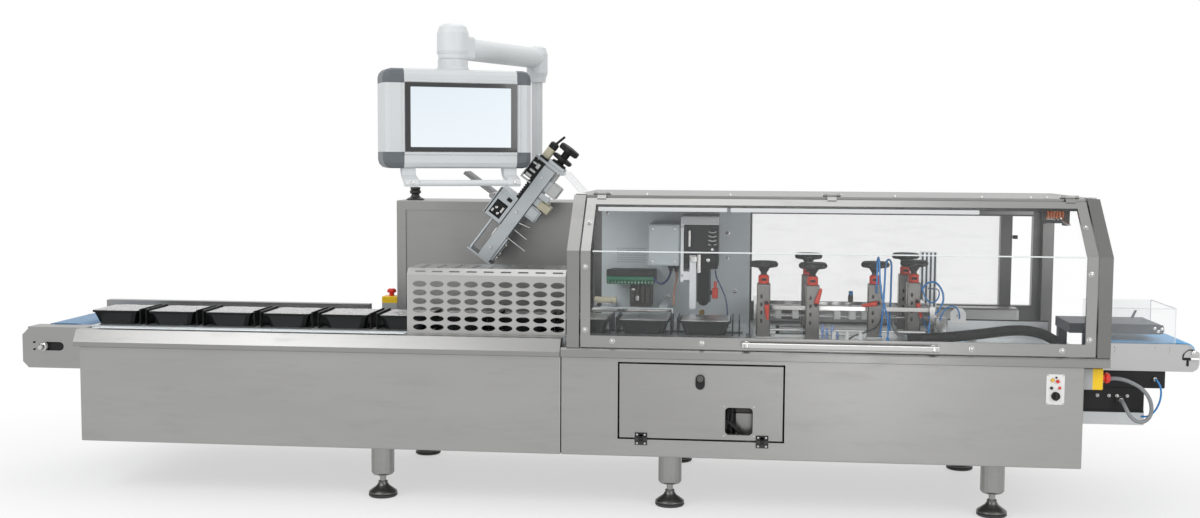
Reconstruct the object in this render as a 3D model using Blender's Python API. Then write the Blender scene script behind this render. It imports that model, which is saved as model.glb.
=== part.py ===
"""Carton sleeving machine: a stainless steel packaging line machine on six legs.

Metres, +Z up. +X runs along the machine in the direction that the trays travel,
+Y goes to the back. Pieces are modelled in machine coordinates, where x is 0 at the
seam between the two cabinets, y is 0 at the front of the cabinets and z is 0 on the
floor. An empty moves them so that the origin is under the middle of the machine.
"""
from math import atan2, cos, pi, radians, sin

import bmesh
import bpy
from mathutils import Matrix, Vector

# Fits
GAP = 0.0003
MOVE_GAP = 0.006

# Cabinets and legs
LEFT_LENGTH = 1.885
RIGHT_LENGTH = 1.895
CABINET_DEPTH = 1.0
CABINET_HEIGHT = 0.372
CABINET_EDGE = 0.004
SEAM_GAP = 0.002
GROUND_CLEARANCE = 0.210
LEG_DIAMETER = 0.0889
LEG_TUBE_LENGTH = 0.115
LEG_INSET = 0.12
LEFT_LEG_INSET = 1.170
MIDDLE_LEG_X = 0.405
RIGHT_LEG_INSET = 0.290
FOOT_DIAMETER = 0.112
FOOT_HEIGHT = 0.034
SPINDLE_DIAMETER = 0.024
LEG_SEGMENTS = 18

# Access door in the right cabinet
DOOR_LEFT = 0.220
DOOR_WIDTH = 0.605
DOOR_HEIGHT = 0.278
DOOR_FOOT = 0.071
DOOR_SHEET = 0.016
DOOR_CLEARANCE = 0.006
DOOR_POCKET = 0.25
WINDOW_SIZE = 0.100
WINDOW_RIGHT = 0.118
WINDOW_FOOT = 0.020
WINDOW_CORNER = 0.008
HINGE_BARREL = 0.016
HINGE_WIDTH = 0.046
HINGE_HEIGHT = 0.046
HINGE_LEAF = 0.005
HINGE_INSETS = (0.082, 0.075)
LATCH_DIAMETER = 0.034
LATCH_HEIGHT = 0.054
LATCH_PROUD = 0.012
LATCH_X = 0.300
LATCH_FOOT = 0.215

# Infeed conveyor
BELT_TOP = 0.650
INFEED_FRONT = 0.055
INFEED_WIDTH = 0.500
INFEED_REACH = 0.262
INFEED_PLATE = 0.008
INFEED_BAND = (0.150, 0.537)
DECK_DROP = 0.004
DECK_SHEET = 0.008
BAND_CLEARANCE = 0.006
PLATE_FOOT = 0.484
PLATE_CHAMFER = 0.024
PLATE_OVERLAP = 0.20
ROLLER_DIAMETER = 0.150
ROLLER_INSET = 0.088
ROLLER_SHAFT = 0.036
TAKE_UP_SLOT = (0.103, 0.034)
TAKE_UP_TRAVEL = 0.031
BELT_THICKNESS = 0.004
BELT_RUN = 0.088
BELT_SEGMENTS = 12
BED_FRONT = 0.0975
BED_BACK = 0.540
BED_SLOT = 0.046
BED_SHELF_FRONT = 0.070
BED_SHELF_DROP = 0.006
TRAY_PITCH = 0.234
TRAY_START = 0.076
TRAY_LENGTH = 0.196
TRAY_WIDTH = 0.215
TRAY_HEIGHT = 0.054
TRAY_TAPER = 0.022
TRAY_RIM = 0.007
TRAY_LINE = 0.2475
CHAIN_WIDTH = 0.034
CHAIN_DEPTH = 0.024
LUG_THICKNESS = 0.005
LUG_HEIGHT = 0.062
LUG_WIDTH = 0.200
LUG_GAP = 0.0127
RAIL_SHEET = 0.003
RAIL_PROUD = 0.020
RAIL_FACE = 0.018
RAIL_BEVEL = 0.030
RAIL_TOP = 0.646
BACK_RAIL_HEIGHT = 0.046
BACK_RAIL_REACH = 0.150
BACK_RAIL_DEPTH = 0.030
BACK_RAIL_LIP = 0.018
BACK_RAIL_BROW = 0.006
BACK_RAIL_SEAT = 0.014
BACK_RAIL_STOP = 0.080

# Perforated guard over the chain
PERF_LEFT = -0.607
PERF_LENGTH = 0.613
PERF_FRONT = 0.085
PERF_DEPTH = 0.235
PERF_HEIGHT = 0.249
PERF_SHEET = 0.003
PERF_CHAMFER = 0.024
PERF_FLANGE = 0.045
SLOT_COLUMNS = 9
SLOT_ROWS = 6
SLOT_PITCH_X = 0.0665
SLOT_PITCH_Z = 0.0332
SLOT_LENGTH = 0.054
SLOT_WIDTH = 0.0235
SLOT_FIRST_X = 0.050
SLOT_FIRST_Z = 0.024
SLOT_SEGMENTS = 4

# Back cabinet and operator panel
BACK_LEFT = -0.806
BACK_FRONT = 0.700
BACK_TOP = 1.133
BACK_BORDER = 0.040
BACK_INSET = 0.006
PEDESTAL_X = -0.738
PEDESTAL_Y = 0.760
PEDESTAL_HEIGHT = 0.056
PEDESTAL_DIAMETER = 0.078
COLUMN_X = -0.230
COLUMN_INSET = 0.100
COLUMN_DIAMETER = 0.048
COLUMN_FLANGE = 0.120
COLUMN_FLANGE_THICKNESS = 0.012
ARM_HEIGHT = 1.748
ARM_DIAMETER = 0.088
ARM_HEAD = 0.124
HEAD_ABOVE = 0.090
HEAD_BELOW = 0.048
SOCKET_LENGTH = 0.080
SOCKET_WIDTH = 0.114
SOCKET_HEIGHT = 0.092
ELBOW_DIAMETER = 0.092
ELBOW_DROP = 0.104
NECK_X = -0.472
NECK_Y = 0.300
NECK_DIAMETER = 0.118
NECK_HEIGHT = 0.040
PANEL_TURN = 25.0
PANEL_WIDTH = 0.590
PANEL_HEIGHT = 0.384
PANEL_DEPTH = 0.156
PANEL_CORNER = 0.034
PANEL_BEVEL = 0.022
PANEL_SHIFT = 0.0075
SCREEN_WIDTH = 0.446
SCREEN_HEIGHT = 0.266
SCREEN_FOOT = 0.064
SCREEN_SHIFT = 0.018
SCREEN_THICKNESS = 0.006
GRIP_DIAMETER = 0.024
GRIP_SPAN = 0.404
GRIP_SHIFT = 0.015
GRIP_DROP = 0.070
GRIP_REACH = 0.030
GRIP_BRACKET = 0.052

# Magazine for the flat cartons
MAGAZINE_TILT = 53.0
MAGAZINE_FOOT_X = -0.3865
MAGAZINE_FOOT_Z = 0.899
MAGAZINE_LENGTH = 0.461
MAGAZINE_Y = 0.500
MAGAZINE_DEPTH = 0.185
SIDE_PLATE_WIDTH = 0.056
SIDE_PLATE_LOW = -0.020
SIDE_PLATE_THICKNESS = 0.012
FOOT_PLATE = 0.008
FOOT_PLATE_WIDTH = 0.118
FOOT_PLATE_LOW = -0.030
GUIDE_ROD = 0.012
GUIDE_ROD_HEIGHT = 0.078
CARRIAGE_START = 0.155
CARRIAGE_LENGTH = 0.132
CARRIAGE_HEIGHT = 0.082
CARRIAGE_DEPTH = 0.133
RACK_DEPTH = 0.030
RACK_HEIGHT = 0.011
RACK_TEETH = 16
RACK_TOOTH = 0.005
RACK_BOX = 0.086
END_PLATE = 0.010
END_PLATE_LOW = -0.045
END_PLATE_WIDTH = 0.132
END_PLATE_DEPTH = 0.130
BAR_COUNT = 4
BAR_DIAMETER = 0.016
BAR_SLOPE = 36.0
BAR_FOOT_X = -0.356
BAR_FOOT = 1.1635
BAR_TOP = 1.256
BAR_INSET = 0.072
WHEEL_DIAMETER = 0.094
WHEEL_LOBES = 6
WHEEL_Y = 0.046
CRANK_HEIGHT = 0.056
MOUNT_START = 0.110
MOUNT_LENGTH = 0.080
COVER_TOP_X = -0.060
COVER_TOP = 1.258
COVER_FOOT = 1.174
COVER_FLANGE = 0.034
COVER_SHEET = 0.005
COVER_FRONT = 0.440
COVER_DEPTH = 0.250

# Guard enclosure
GUARD_LEFT = 0.023
GUARD_OVERHANG = 0.084
GUARD_FRONT = -0.015
GUARD_BACK = 1.0
RAIL_HEIGHT = 0.035
BASE_RAIL_PROUD = 0.005
BASE_RAIL_BACK = 0.060
BASE_RAIL_CHAMFER = 0.008
GUARD_BEND = 0.978
GUARD_TOP = 1.178
GUARD_TOP_FRONT = 0.200
POST_WIDTH = 0.046
POST_DEPTH = 0.040
DOOR_POST_WIDTH = 0.036
DOOR_FRAME_DEPTH = 0.014
DOOR_BOTTOM_RAIL = 0.044
DOOR_TOP_RAIL = 0.034
PANE = 0.005
ROOF_SHEET = 0.004
ROOF_BEAM = 0.026
ROOF_BEAM_DEPTH = 0.030
BACK_BEAM = 0.098
BACK_SILL = 0.115
BACK_POST_WIDTH = 0.048
BACK_GAP = 0.087
BACK_STILE = 0.032
DOOR_TOP_CUT = 0.016
LIFT_HINGES = (0.055, 0.500, 0.945)
LIFT_BARREL = 0.012
LIFT_WIDTH = 0.034
LIFT_TAB = 0.014
LIFT_LEAF = 0.003
LIFT_REACH = 0.028
HANDLE_LEFT = 0.672
HANDLE_LENGTH = 0.704
HANDLE_DIAMETER = 0.022
HANDLE_STANDOFF = 0.030
HANDLE_HEIGHT = 0.010

# Erecting and folding section inside the guard
TABLE_LEFT = 0.705
TABLE_FRONT = 0.110
TABLE_BACK = 0.900
TABLE_TOP = 0.620
WALL_RIGHT = 0.700
WALL_Y = 0.750
WALL_THICKNESS = 0.010
WALL_TOP = 1.125
ADJUSTERS = ((0.753, 0.340, 0.0), (0.940, 0.300, 0.0), (1.185, 0.390, 0.0), (1.345, 0.480, 0.0),
             (0.935, 0.560, 0.018), (1.330, 0.640, 0.018))
ADJUSTER_POST = 0.052
ADJUSTER_HEIGHT = 0.215
COLLAR_DIAMETER = 0.042
COLLAR_HEIGHT = 0.034
KNOB_DIAMETER = 0.104
KNOB_HEIGHT = 0.022
KNOB_STEM = 0.024
KNOB_RISE = 0.030
ADJUSTER_SEGMENTS = 16
GLUE_LEFT = 0.288
GLUE_WIDTH = 0.130
GLUE_FOOT = 0.885
GLUE_HEIGHT = 0.170
GLUE_DEPTH = 0.270
TERMINAL_LEFT = 0.113
TERMINAL_WIDTH = 0.196
TERMINAL_FOOT = 0.802
TERMINAL_HEIGHT = 0.051
TERMINAL_DEPTH = 0.190
VALVE_LEFT = 0.205
VALVE_WIDTH = 0.088
VALVE_FOOT = 0.702
VALVE_DEPTH = 0.130
FEED_LEFT = 0.421
FEED_WIDTH = 0.152
FEED_FRONT = 0.470
FEED_TOP = 1.086
FEED_HOOD = 0.032
FEED_LEG = 0.012
FEED_LEG_FOOT = 0.823
FEED_PLATE_LEFT = 0.458
FEED_PLATE_WIDTH = 0.026
FEED_PLATE_FOOT = 0.714
FEED_PLATE_HEIGHT = 0.216
DRIVE_FOOT = 0.875
BELT_COLUMN_LEFT = 0.490
BELT_COLUMN_WIDTH = 0.046
BELT_COLUMN_FOOT = 0.721
TRAY_GUIDE_FOOT = 0.700
TRAY_GUIDE_HEIGHT = 0.020
TRAY_GUIDE_Y = 0.430
TRAY_GUIDE_END = 0.395
ROD_DIAMETER = 0.012
ROD_END = 1.420
ROD_BLOCK = 0.018
ROD_BLOCK_TOP = 0.745
ROD_LEVELS = ((0.430, 0.642), (0.520, 0.690), (0.700, 0.722))
CYLINDER_LEFT = 0.807
CYLINDER_Y = 0.486
CYLINDER_LENGTH = 0.120
CYLINDER_DIAMETER = 0.032
DIVIDER_LEFT = 1.478
DIVIDER_INSET = 0.062
DIVIDER_Y = 0.450
DIVIDER_TOP = 0.690
PROFILE_LEFT = 1.405
PROFILE_SIZE = 0.070
PROFILE_Y = 0.760
PROFILE_TOP = 0.935
DUCT_DIAMETER = 0.040
DUCT_Y = 0.250
DUCT_ROUTE = ((0.679, 0.0), (0.559, 0.006), (0.419, 0.022), (0.279, 0.040), (0.189, 0.030), (0.129, 0.0))

# Outfeed conveyor
OUTFEED_LENGTH = 0.341
OUTFEED_FRONT = 0.095
OUTFEED_WIDTH = 0.310
OUTFEED_PLATE = 0.008
OUTFEED_TOP = 0.658
OUTFEED_DEPTH = 0.100
OUTFEED_ROLLER = 0.060
OUTFEED_SHAFT = 0.024
OUTFEED_CHAMFER = 0.056
ROLLER_END = 0.045
TUNNEL_LENGTH = 0.253
TUNNEL_TOP = 0.790
TUNNEL_SHEET = 0.005
TUNNEL_CORNER = 0.006
PRESS_REACH = 0.110
PRESS_LENGTH = 0.226
PRESS_FOOT = 0.030
PRESS_HEIGHT = 0.036
PRESS_INSET = 0.040
PRESS_NOSE = 0.014
DRIVE_LENGTH = 0.310
DRIVE_HEIGHT = 0.064
DRIVE_DEPTH = 0.194
LOWER_DRIVE_LENGTH = 0.239
LOWER_DRIVE_FOOT = 0.150
DRIVE_TRAY_FOOT = 0.200
STOP_HEAD = 0.040
STOP_SIZE = 0.070
STOP_INSET = 0.018
STOP_HEIGHT = 0.078
STOP_FOOT = 0.497
BACK_STOP_FOOT = 0.640
STRUT_INSET = 0.117
STRUT_BACK = 0.620
STRUT_FRONT = 0.148
STRUT_DROP = 0.060
STRUT_RISE = 0.107
STRUT_TUBE = 0.018
STRUT_ROD = 0.008

# Worked out from the sizes above
CABINET_FOOT = GROUND_CLEARANCE
CABINET_TOP = CABINET_FOOT + CABINET_HEIGHT
BASE_TOP = CABINET_TOP + RAIL_HEIGHT
INFEED_END = -LEFT_LENGTH - INFEED_REACH
GUARD_RIGHT = RIGHT_LENGTH + GUARD_OVERHANG
OUTFEED_END = GUARD_RIGHT + OUTFEED_LENGTH
ARM_HEAD_TOP = ARM_HEIGHT + HEAD_ABOVE
ARM_HEAD_FOOT = ARM_HEIGHT - HEAD_BELOW
PANEL_TOP = ARM_HEAD_FOOT - NECK_HEIGHT
PANEL_FOOT = PANEL_TOP - PANEL_HEIGHT
SIDE_PLATE_HIGH = SIDE_PLATE_LOW + SIDE_PLATE_WIDTH
END_PLATE_FOOT = MAGAZINE_LENGTH + 0.007
MACHINE_FRONT = GUARD_FRONT - HANDLE_STANDOFF - HANDLE_DIAMETER / 2
MACHINE_BACK = CABINET_DEPTH
LIFT_AXIS_Y = GUARD_TOP_FRONT + MOVE_GAP / 2
LIFT_AXIS_Z = GUARD_TOP + LIFT_BARREL / 2 + 0.0005
ACCESS_AXIS_Z = CABINET_FOOT + DOOR_FOOT - DOOR_CLEARANCE / 2
COLUMN_Y = CABINET_DEPTH - COLUMN_INSET
TRAY_COUNT = round((TABLE_LEFT + LEFT_LENGTH - TRAY_START) / TRAY_PITCH)
MIDDLE_X = (INFEED_END + OUTFEED_END) / 2
MIDDLE_Y = (MACHINE_FRONT + MACHINE_BACK) / 2


def clear_scene():
    """Remove everything that the file holds."""
    for item in list(bpy.data.objects):
        bpy.data.objects.remove(item, do_unlink=True)


def make_material(name, colour, roughness, metallic=0.0, alpha=1.0):
    """A Principled material with plain values."""
    material = bpy.data.materials.new(name)
    material.use_nodes = True
    shader = material.node_tree.nodes["Principled BSDF"]
    shader.inputs["Base Color"].default_value = (*colour, 1.0)
    shader.inputs["Roughness"].default_value = roughness
    shader.inputs["Metallic"].default_value = metallic
    shader.inputs["Alpha"].default_value = alpha
    return material


def new_object(name, mesh_data, material, parent, offset=Vector()):
    """Put a bmesh into the scene as a named object under a parent."""
    mesh = bpy.data.meshes.new(name)
    bmesh.ops.recalc_face_normals(mesh_data, faces=mesh_data.faces[:])
    mesh_data.to_mesh(mesh)
    mesh_data.free()
    mesh.materials.append(material)
    item = bpy.data.objects.new(name, mesh)
    bpy.context.scene.collection.objects.link(item)
    item.parent = parent
    item.location = -offset
    return item


def block(x_range, y_range, z_range):
    """A box between two planes on each axis."""
    data = bmesh.new()
    size = Vector((x_range[1] - x_range[0], y_range[1] - y_range[0], z_range[1] - z_range[0]))
    centre = Vector((sum(x_range), sum(y_range), sum(z_range))) / 2
    place = Matrix.Translation(centre) @ Matrix.Diagonal((*size, 1.0))
    bmesh.ops.create_cube(data, size=1.0, matrix=place)
    return data


def soften(data, width, segments=1, along=None):
    """Bevel the edges of a bmesh, or only those that run along one axis."""
    edges = data.edges[:]
    if along is not None:
        edges = [e for e in edges if abs((e.verts[1].co - e.verts[0].co).normalized()[along]) > 0.99]
    bmesh.ops.bevel(data, geom=edges, offset=width, segments=segments, affect="EDGES", profile=0.5)
    return data


def extrusion(outline, axis, start, end):
    """A closed prism: an outline in the two other axes, pulled along one axis."""
    data = bmesh.new()
    place = {
        "X": lambda a, b, c: (c, a, b),
        "Y": lambda a, b, c: (a, c, b),
        "Z": lambda a, b, c: (a, b, c),
    }[axis]
    ring = [data.verts.new(place(a, b, start)) for a, b in outline]
    face = data.faces.new(ring)
    pulled = bmesh.ops.extrude_face_region(data, geom=[face])
    verts = [v for v in pulled["geom"] if isinstance(v, bmesh.types.BMVert)]
    bmesh.ops.translate(data, verts=verts, vec=Vector(place(0, 0, end - start)) - Vector(place(0, 0, 0)))
    return data


def turned(profile, centre, direction=(0, 0, 1), segments=24):
    """A body of revolution from (radius, height) points, with both ends closed."""
    data = bmesh.new()
    rings = []
    for radius, height in profile:
        ring = [
            data.verts.new((radius * cos(2 * pi * k / segments), radius * sin(2 * pi * k / segments), height))
            for k in range(segments)
        ]
        rings.append(ring)
    for low, high in zip(rings, rings[1:]):
        for k in range(segments):
            data.faces.new((low[k], low[k - 1], high[k - 1], high[k]))
    data.faces.new(rings[0])
    data.faces.new(rings[-1])
    turn = Vector((0, 0, 1)).rotation_difference(Vector(direction)).to_matrix().to_4x4()
    bmesh.ops.transform(data, matrix=Matrix.Translation(Vector(centre)) @ turn, verts=data.verts[:])
    return data


def rod(start, end, diameter, segments=16):
    """A plain round bar between two points."""
    start = Vector(start)
    run = Vector(end) - start
    return turned(((diameter / 2, 0), (diameter / 2, run.length)), start, run.normalized(), segments)


def joined(*pieces):
    """Put bmeshes that don't touch into one, for use as one cutter or one addition."""
    whole = bmesh.new()
    for piece in pieces:
        mesh = bpy.data.meshes.new("scratch")
        bmesh.ops.recalc_face_normals(piece, faces=piece.faces[:])
        piece.to_mesh(mesh)
        piece.free()
        whole.from_mesh(mesh)
        bpy.data.meshes.remove(mesh)
    return whole


def moved(data, matrix):
    """A bmesh after a move or a turn."""
    bmesh.ops.transform(data, matrix=matrix, verts=data.verts[:])
    return data


def combine(item, data, operation, label):
    """Add to or cut from an object with a hidden helper and a live Boolean."""
    helper = new_object(f"{item.name}_{label}", data, item.data.materials[0], item.parent)
    helper.location = item.location
    helper.hide_render = True
    helper.display_type = "WIRE"
    boolean = item.modifiers.new(label, "BOOLEAN")
    boolean.operation = operation
    boolean.object = helper
    boolean.solver = "EXACT"
    return item


def add_to(item, data, label="addition"):
    """Union a shape with an object."""
    return combine(item, data, "UNION", label)


def cut_from(item, data, label="cutter"):
    """Cut a shape out of an object."""
    return combine(item, data, "DIFFERENCE", label)


def smooth(item, angle=35.0):
    """Shade round faces smooth and keep edges sharper than an angle."""
    item.data.shade_smooth()
    item.data.set_sharp_from_angle(angle=radians(angle))
    return item


def rounded_outline(x0, x1, y0, y1, radius, segments=4):
    """Corner-rounded rectangle, as points that run anticlockwise."""
    points = []
    for cx, cy, start in ((x1 - radius, y0 + radius, -90), (x1 - radius, y1 - radius, 0),
                          (x0 + radius, y1 - radius, 90), (x0 + radius, y0 + radius, 180)):
        for k in range(segments + 1):
            angle = radians(start + 90 * k / segments)
            points.append((cx + radius * cos(angle), cy + radius * sin(angle)))
    return points


def slot_outline(cx, cy, length, width, segments):
    """A slot with round ends, as points that run anticlockwise."""
    half = (length - width) / 2
    points = []
    for side, start in ((1, -90), (-1, 90)):
        for k in range(segments + 1):
            angle = radians(start + 180 * k / segments)
            points.append((cx + side * half + width / 2 * cos(angle), cy + width / 2 * sin(angle)))
    return points


def oval_outline(cx, cy, length, width, segments):
    """An ellipse, as points that run anticlockwise."""
    steps = 4 * segments
    return [(cx + length / 2 * cos(2 * pi * k / steps), cy + width / 2 * sin(2 * pi * k / steps))
            for k in range(steps)]


def offset_outline(points, distance):
    """Shift an open line of points sideways by a distance, mitred at its corners."""
    result = []
    for k, (a, b) in enumerate(points):
        before = points[max(k - 1, 0)]
        after = points[min(k + 1, len(points) - 1)]
        first = Vector((a - before[0], b - before[1]))
        second = Vector((after[0] - a, after[1] - b))
        if first.length == 0:
            first = second
        if second.length == 0:
            second = first
        n1 = Vector((-first.y, first.x)).normalized()
        n2 = Vector((-second.y, second.x)).normalized()
        mitre = (n1 + n2).normalized()
        reach = distance / max(mitre.dot(n1), 0.2)
        result.append((a + mitre.x * reach, b + mitre.y * reach))
    return result


def sheet_outline(points, thickness):
    """A folded sheet seen on edge: a line of points and the same line set off by the thickness."""
    return list(points) + offset_outline(points, thickness)[::-1]


# Base

def make_cabinets(machine, steel):
    """Two sheet cabinets that meet at the seam. The right one has a pocket behind its access door."""
    depth = (0, CABINET_DEPTH)
    height = (CABINET_FOOT, CABINET_TOP)
    left = soften(block((-LEFT_LENGTH, -SEAM_GAP / 2), depth, height), CABINET_EDGE, 2)
    right = soften(block((SEAM_GAP / 2, RIGHT_LENGTH), depth, height), CABINET_EDGE, 2)
    new_object("cabinet_left", left, steel, machine)
    right = new_object("cabinet_right", right, steel, machine)
    opening = (DOOR_LEFT - DOOR_CLEARANCE, DOOR_LEFT + DOOR_WIDTH + DOOR_CLEARANCE)
    foot = CABINET_FOOT + DOOR_FOOT
    pocket = block(opening, (-0.01, DOOR_POCKET),
                   (foot - DOOR_CLEARANCE, foot + DOOR_HEIGHT + DOOR_CLEARANCE))
    cut_from(right, pocket, "pocket")
    add_hinge_seats(right, ACCESS_AXIS_Z)


def make_legs(machine, steel):
    """Six round legs, each a tube with an end disc, a spindle and a bell-shaped foot."""
    tube_foot = CABINET_FOOT - LEG_TUBE_LENGTH
    places = (LEFT_LEG_INSET - LEFT_LENGTH, MIDDLE_LEG_X, RIGHT_LENGTH - RIGHT_LEG_INSET)
    for row, y in (("front", LEG_INSET), ("back", CABINET_DEPTH - LEG_INSET)):
        for number, x in enumerate(places, start=1):
            radius = LEG_DIAMETER / 2
            foot = FOOT_DIAMETER / 2
            profile = (
                (foot - 0.004, 0),
                (foot, 0.004),
                (foot, 0.010),
                (foot * 0.62, FOOT_HEIGHT * 0.75),
                (SPINDLE_DIAMETER * 0.8, FOOT_HEIGHT),
                (SPINDLE_DIAMETER / 2, FOOT_HEIGHT + 0.002),
                (SPINDLE_DIAMETER / 2, tube_foot - 0.010),
                (radius - 0.006, tube_foot - 0.008),
                (radius, tube_foot),
                (radius, CABINET_FOOT - GAP),
            )
            shape = turned(profile, (x, y, 0), segments=LEG_SEGMENTS)
            smooth(new_object(f"leg_{row}_{number}", shape, steel, machine))


def make_access_door(machine, hinge, steel):
    """The drop-down door with its hinge straps, its latch and its window opening."""
    origin = hinge.location.copy()
    foot = CABINET_FOOT + DOOR_FOOT
    right = DOOR_LEFT + DOOR_WIDTH
    sheet = soften(block((DOOR_LEFT, right), (0, DOOR_SHEET), (foot, foot + DOOR_HEIGHT)), 0.002)
    door = new_object("access_door", sheet, steel, hinge, origin)
    outline = rounded_outline(right - WINDOW_RIGHT, right - WINDOW_RIGHT + WINDOW_SIZE, foot + WINDOW_FOOT,
                              foot + WINDOW_FOOT + WINDOW_SIZE, WINDOW_CORNER)
    cut_from(door, extrusion(outline, "Y", -0.02, DOOR_SHEET + 0.02), "window")
    latch = slot_outline(0, 0, LATCH_HEIGHT, LATCH_DIAMETER, 6)
    latch = [(DOOR_LEFT + LATCH_X - b, foot + LATCH_FOOT + a) for a, b in latch]
    add_to(door, extrusion(latch, "Y", -LATCH_PROUD, DOOR_SHEET / 2), "latch")
    straps = []
    for x in hinge_places():
        half = HINGE_WIDTH / 2
        third = HINGE_WIDTH / 6 - GAP
        barrel = rod((x - third, -HINGE_BARREL / 2, origin.z), (x + third, -HINGE_BARREL / 2, origin.z),
                     HINGE_BARREL, 14)
        leaf = block((x - half, x + half), (-HINGE_LEAF, 0.002), (origin.z + HINGE_BARREL / 2 + 0.001,
                                                                 origin.z + HINGE_HEIGHT / 2))
        tongue = block((x - third, x + third), (-HINGE_LEAF, -GAP),
                       (origin.z, origin.z + HINGE_HEIGHT / 2 - 0.004))
        straps.append((barrel, leaf, tongue))
    for label, k in (("barrel", 0), ("leaf", 1), ("tongue", 2)):
        add_to(door, joined(*(strap[k] for strap in straps)), label)


def hinge_places():
    """Where the two hinges of the access door sit along x."""
    return (DOOR_LEFT + HINGE_INSETS[0], DOOR_LEFT + DOOR_WIDTH - HINGE_INSETS[1])


def add_hinge_seats(cabinet, axis_z):
    """The fixed halves of the two hinges on the cabinet: a leaf and two knuckles round each pin."""
    leaves = []
    barrels = []
    tongues = []
    for x in hinge_places():
        half = HINGE_WIDTH / 2
        third = HINGE_WIDTH / 6
        y = -HINGE_BARREL / 2
        leaves.append(block((x - half, x + half), (-HINGE_LEAF, 0.002),
                            (axis_z - HINGE_HEIGHT / 2, axis_z - HINGE_BARREL / 2 - 0.001)))
        for a, b in ((x - half, x - third - GAP), (x + third + GAP, x + half)):
            barrels.append(rod((a, y, axis_z), (b, y, axis_z), HINGE_BARREL, 12))
            tongues.append(block((a, b), (-HINGE_LEAF * 0.9, -GAP),
                                 (axis_z - HINGE_HEIGHT / 2 + 0.004, axis_z)))
    add_to(cabinet, joined(*leaves), "hinge_leaves")
    add_to(cabinet, joined(*tongues), "hinge_tongues")
    add_to(cabinet, joined(*barrels), "hinge_knuckles")


# Infeed

def make_infeed(machine, steel, blue):
    """End plates with a deck beside the belt, roller, belt, wear bed and the two long rails."""
    front = INFEED_FRONT
    back = front + INFEED_WIDTH
    end = INFEED_END
    top = BELT_TOP - 0.012
    inner = -LEFT_LENGTH + PLATE_OVERLAP
    chamfer = PLATE_CHAMFER
    step = CABINET_TOP + GAP
    outline = [(end + chamfer, PLATE_FOOT), (-LEFT_LENGTH - GAP, PLATE_FOOT), (-LEFT_LENGTH - GAP, step),
               (inner, step), (inner, top), (end + chamfer, top), (end, top - chamfer),
               (end, PLATE_FOOT + chamfer)]
    axle_x = end + ROLLER_INSET
    axle_z = BELT_TOP - BELT_THICKNESS - belt_inside(ROLLER_DIAMETER)
    slot = slot_outline(axle_x + TAKE_UP_TRAVEL, axle_z, *TAKE_UP_SLOT, 6)
    plate = extrusion(outline, "Y", front, front + INFEED_PLATE)
    frame = new_object("infeed_end_frame", plate, steel, machine)
    add_to(frame, extrusion(outline, "Y", back - INFEED_PLATE, back), "back_plate")
    slots = [extrusion(slot, "Y", y - 0.01, y + INFEED_PLATE + 0.01) for y in (front, back - INFEED_PLATE)]
    cut_from(frame, joined(*slots), "slots")
    near, far = INFEED_BAND
    ends = (front - 0.002, back + 0.002)
    drum = (near - BAND_CLEARANCE / 2, far + BAND_CLEARANCE / 2)
    roller = make_roller((axle_x, axle_z), ROLLER_DIAMETER, ROLLER_SHAFT, ends, drum)
    add_to(frame, roller, "roller")
    deck = (BELT_TOP - DECK_DROP - DECK_SHEET, BELT_TOP - DECK_DROP)
    add_to(frame, block((end + chamfer, -LEFT_LENGTH - GAP), (front, near - BAND_CLEARANCE), deck), "deck")
    smooth(frame)
    make_belt("infeed_belt", machine, blue, (axle_x, axle_z), axle_x + BELT_RUN, ROLLER_DIAMETER, INFEED_BAND)
    make_bed(machine, steel, axle_x + BELT_RUN + ROLLER_DIAMETER / 2 + 0.012)
    make_rails(machine, steel)


def make_roller(axle, diameter, shaft_diameter, ends, drum):
    """A belt roller along y: a thin shaft end, the drum and another shaft end."""
    x, z = axle
    shaft = shaft_diameter / 2
    radius = diameter / 2
    start = ends[0]
    profile = ((shaft, 0), (shaft, drum[0] - start), (radius, drum[0] - start), (radius, drum[1] - start),
               (shaft, drum[1] - start), (shaft, ends[1] - start))
    return turned(profile, (x, start, z), (0, 1, 0), 2 * BELT_SEGMENTS)


def belt_inside(diameter):
    """Inner radius of a belt at its corners, so that its flats just clear the roller."""
    return (diameter / 2 + GAP) / cos(pi / 2 / BELT_SEGMENTS)


def make_belt(name, parent, material, axle, far_x, diameter, y_range):
    """A flat belt loop round two equal rollers, with the rollers' space left open."""
    inner = belt_inside(diameter)
    outer = inner + BELT_THICKNESS
    x, z = axle
    length = far_x - x

    def loop(radius):
        """Stadium round the two axles."""
        return slot_outline((x + far_x) / 2, z, length + 2 * radius, 2 * radius, BELT_SEGMENTS)

    belt = new_object(name, extrusion(loop(outer), "Y", *y_range), material, parent)
    cut_from(belt, extrusion(loop(inner), "Y", y_range[0] - 0.01, y_range[1] + 0.01), "inside")
    return smooth(belt)


def make_bed(machine, steel, start):
    """Two wear strips with a slot between them for the flight chain, and a lower shelf in front of them."""
    middle = TRAY_LINE
    slot = BED_SLOT / 2
    top = BELT_TOP - GAP
    low = CABINET_TOP + GAP
    floor = BELT_TOP - CHAIN_DEPTH - 2 * GAP
    outline = [(BED_FRONT, low), (BED_BACK, low), (BED_BACK, top), (middle + slot, top),
               (middle + slot, floor), (middle - slot, floor), (middle - slot, top), (BED_FRONT, top)]
    bed = new_object("chain_bed", extrusion(outline, "X", start, TABLE_LEFT - 0.02), steel, machine)
    shelf = block((start, -SEAM_GAP), (BED_SHELF_FRONT, BED_FRONT + 0.002),
                  (low, RAIL_TOP - BED_SHELF_DROP))
    add_to(bed, shelf, "shelf")


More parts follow.
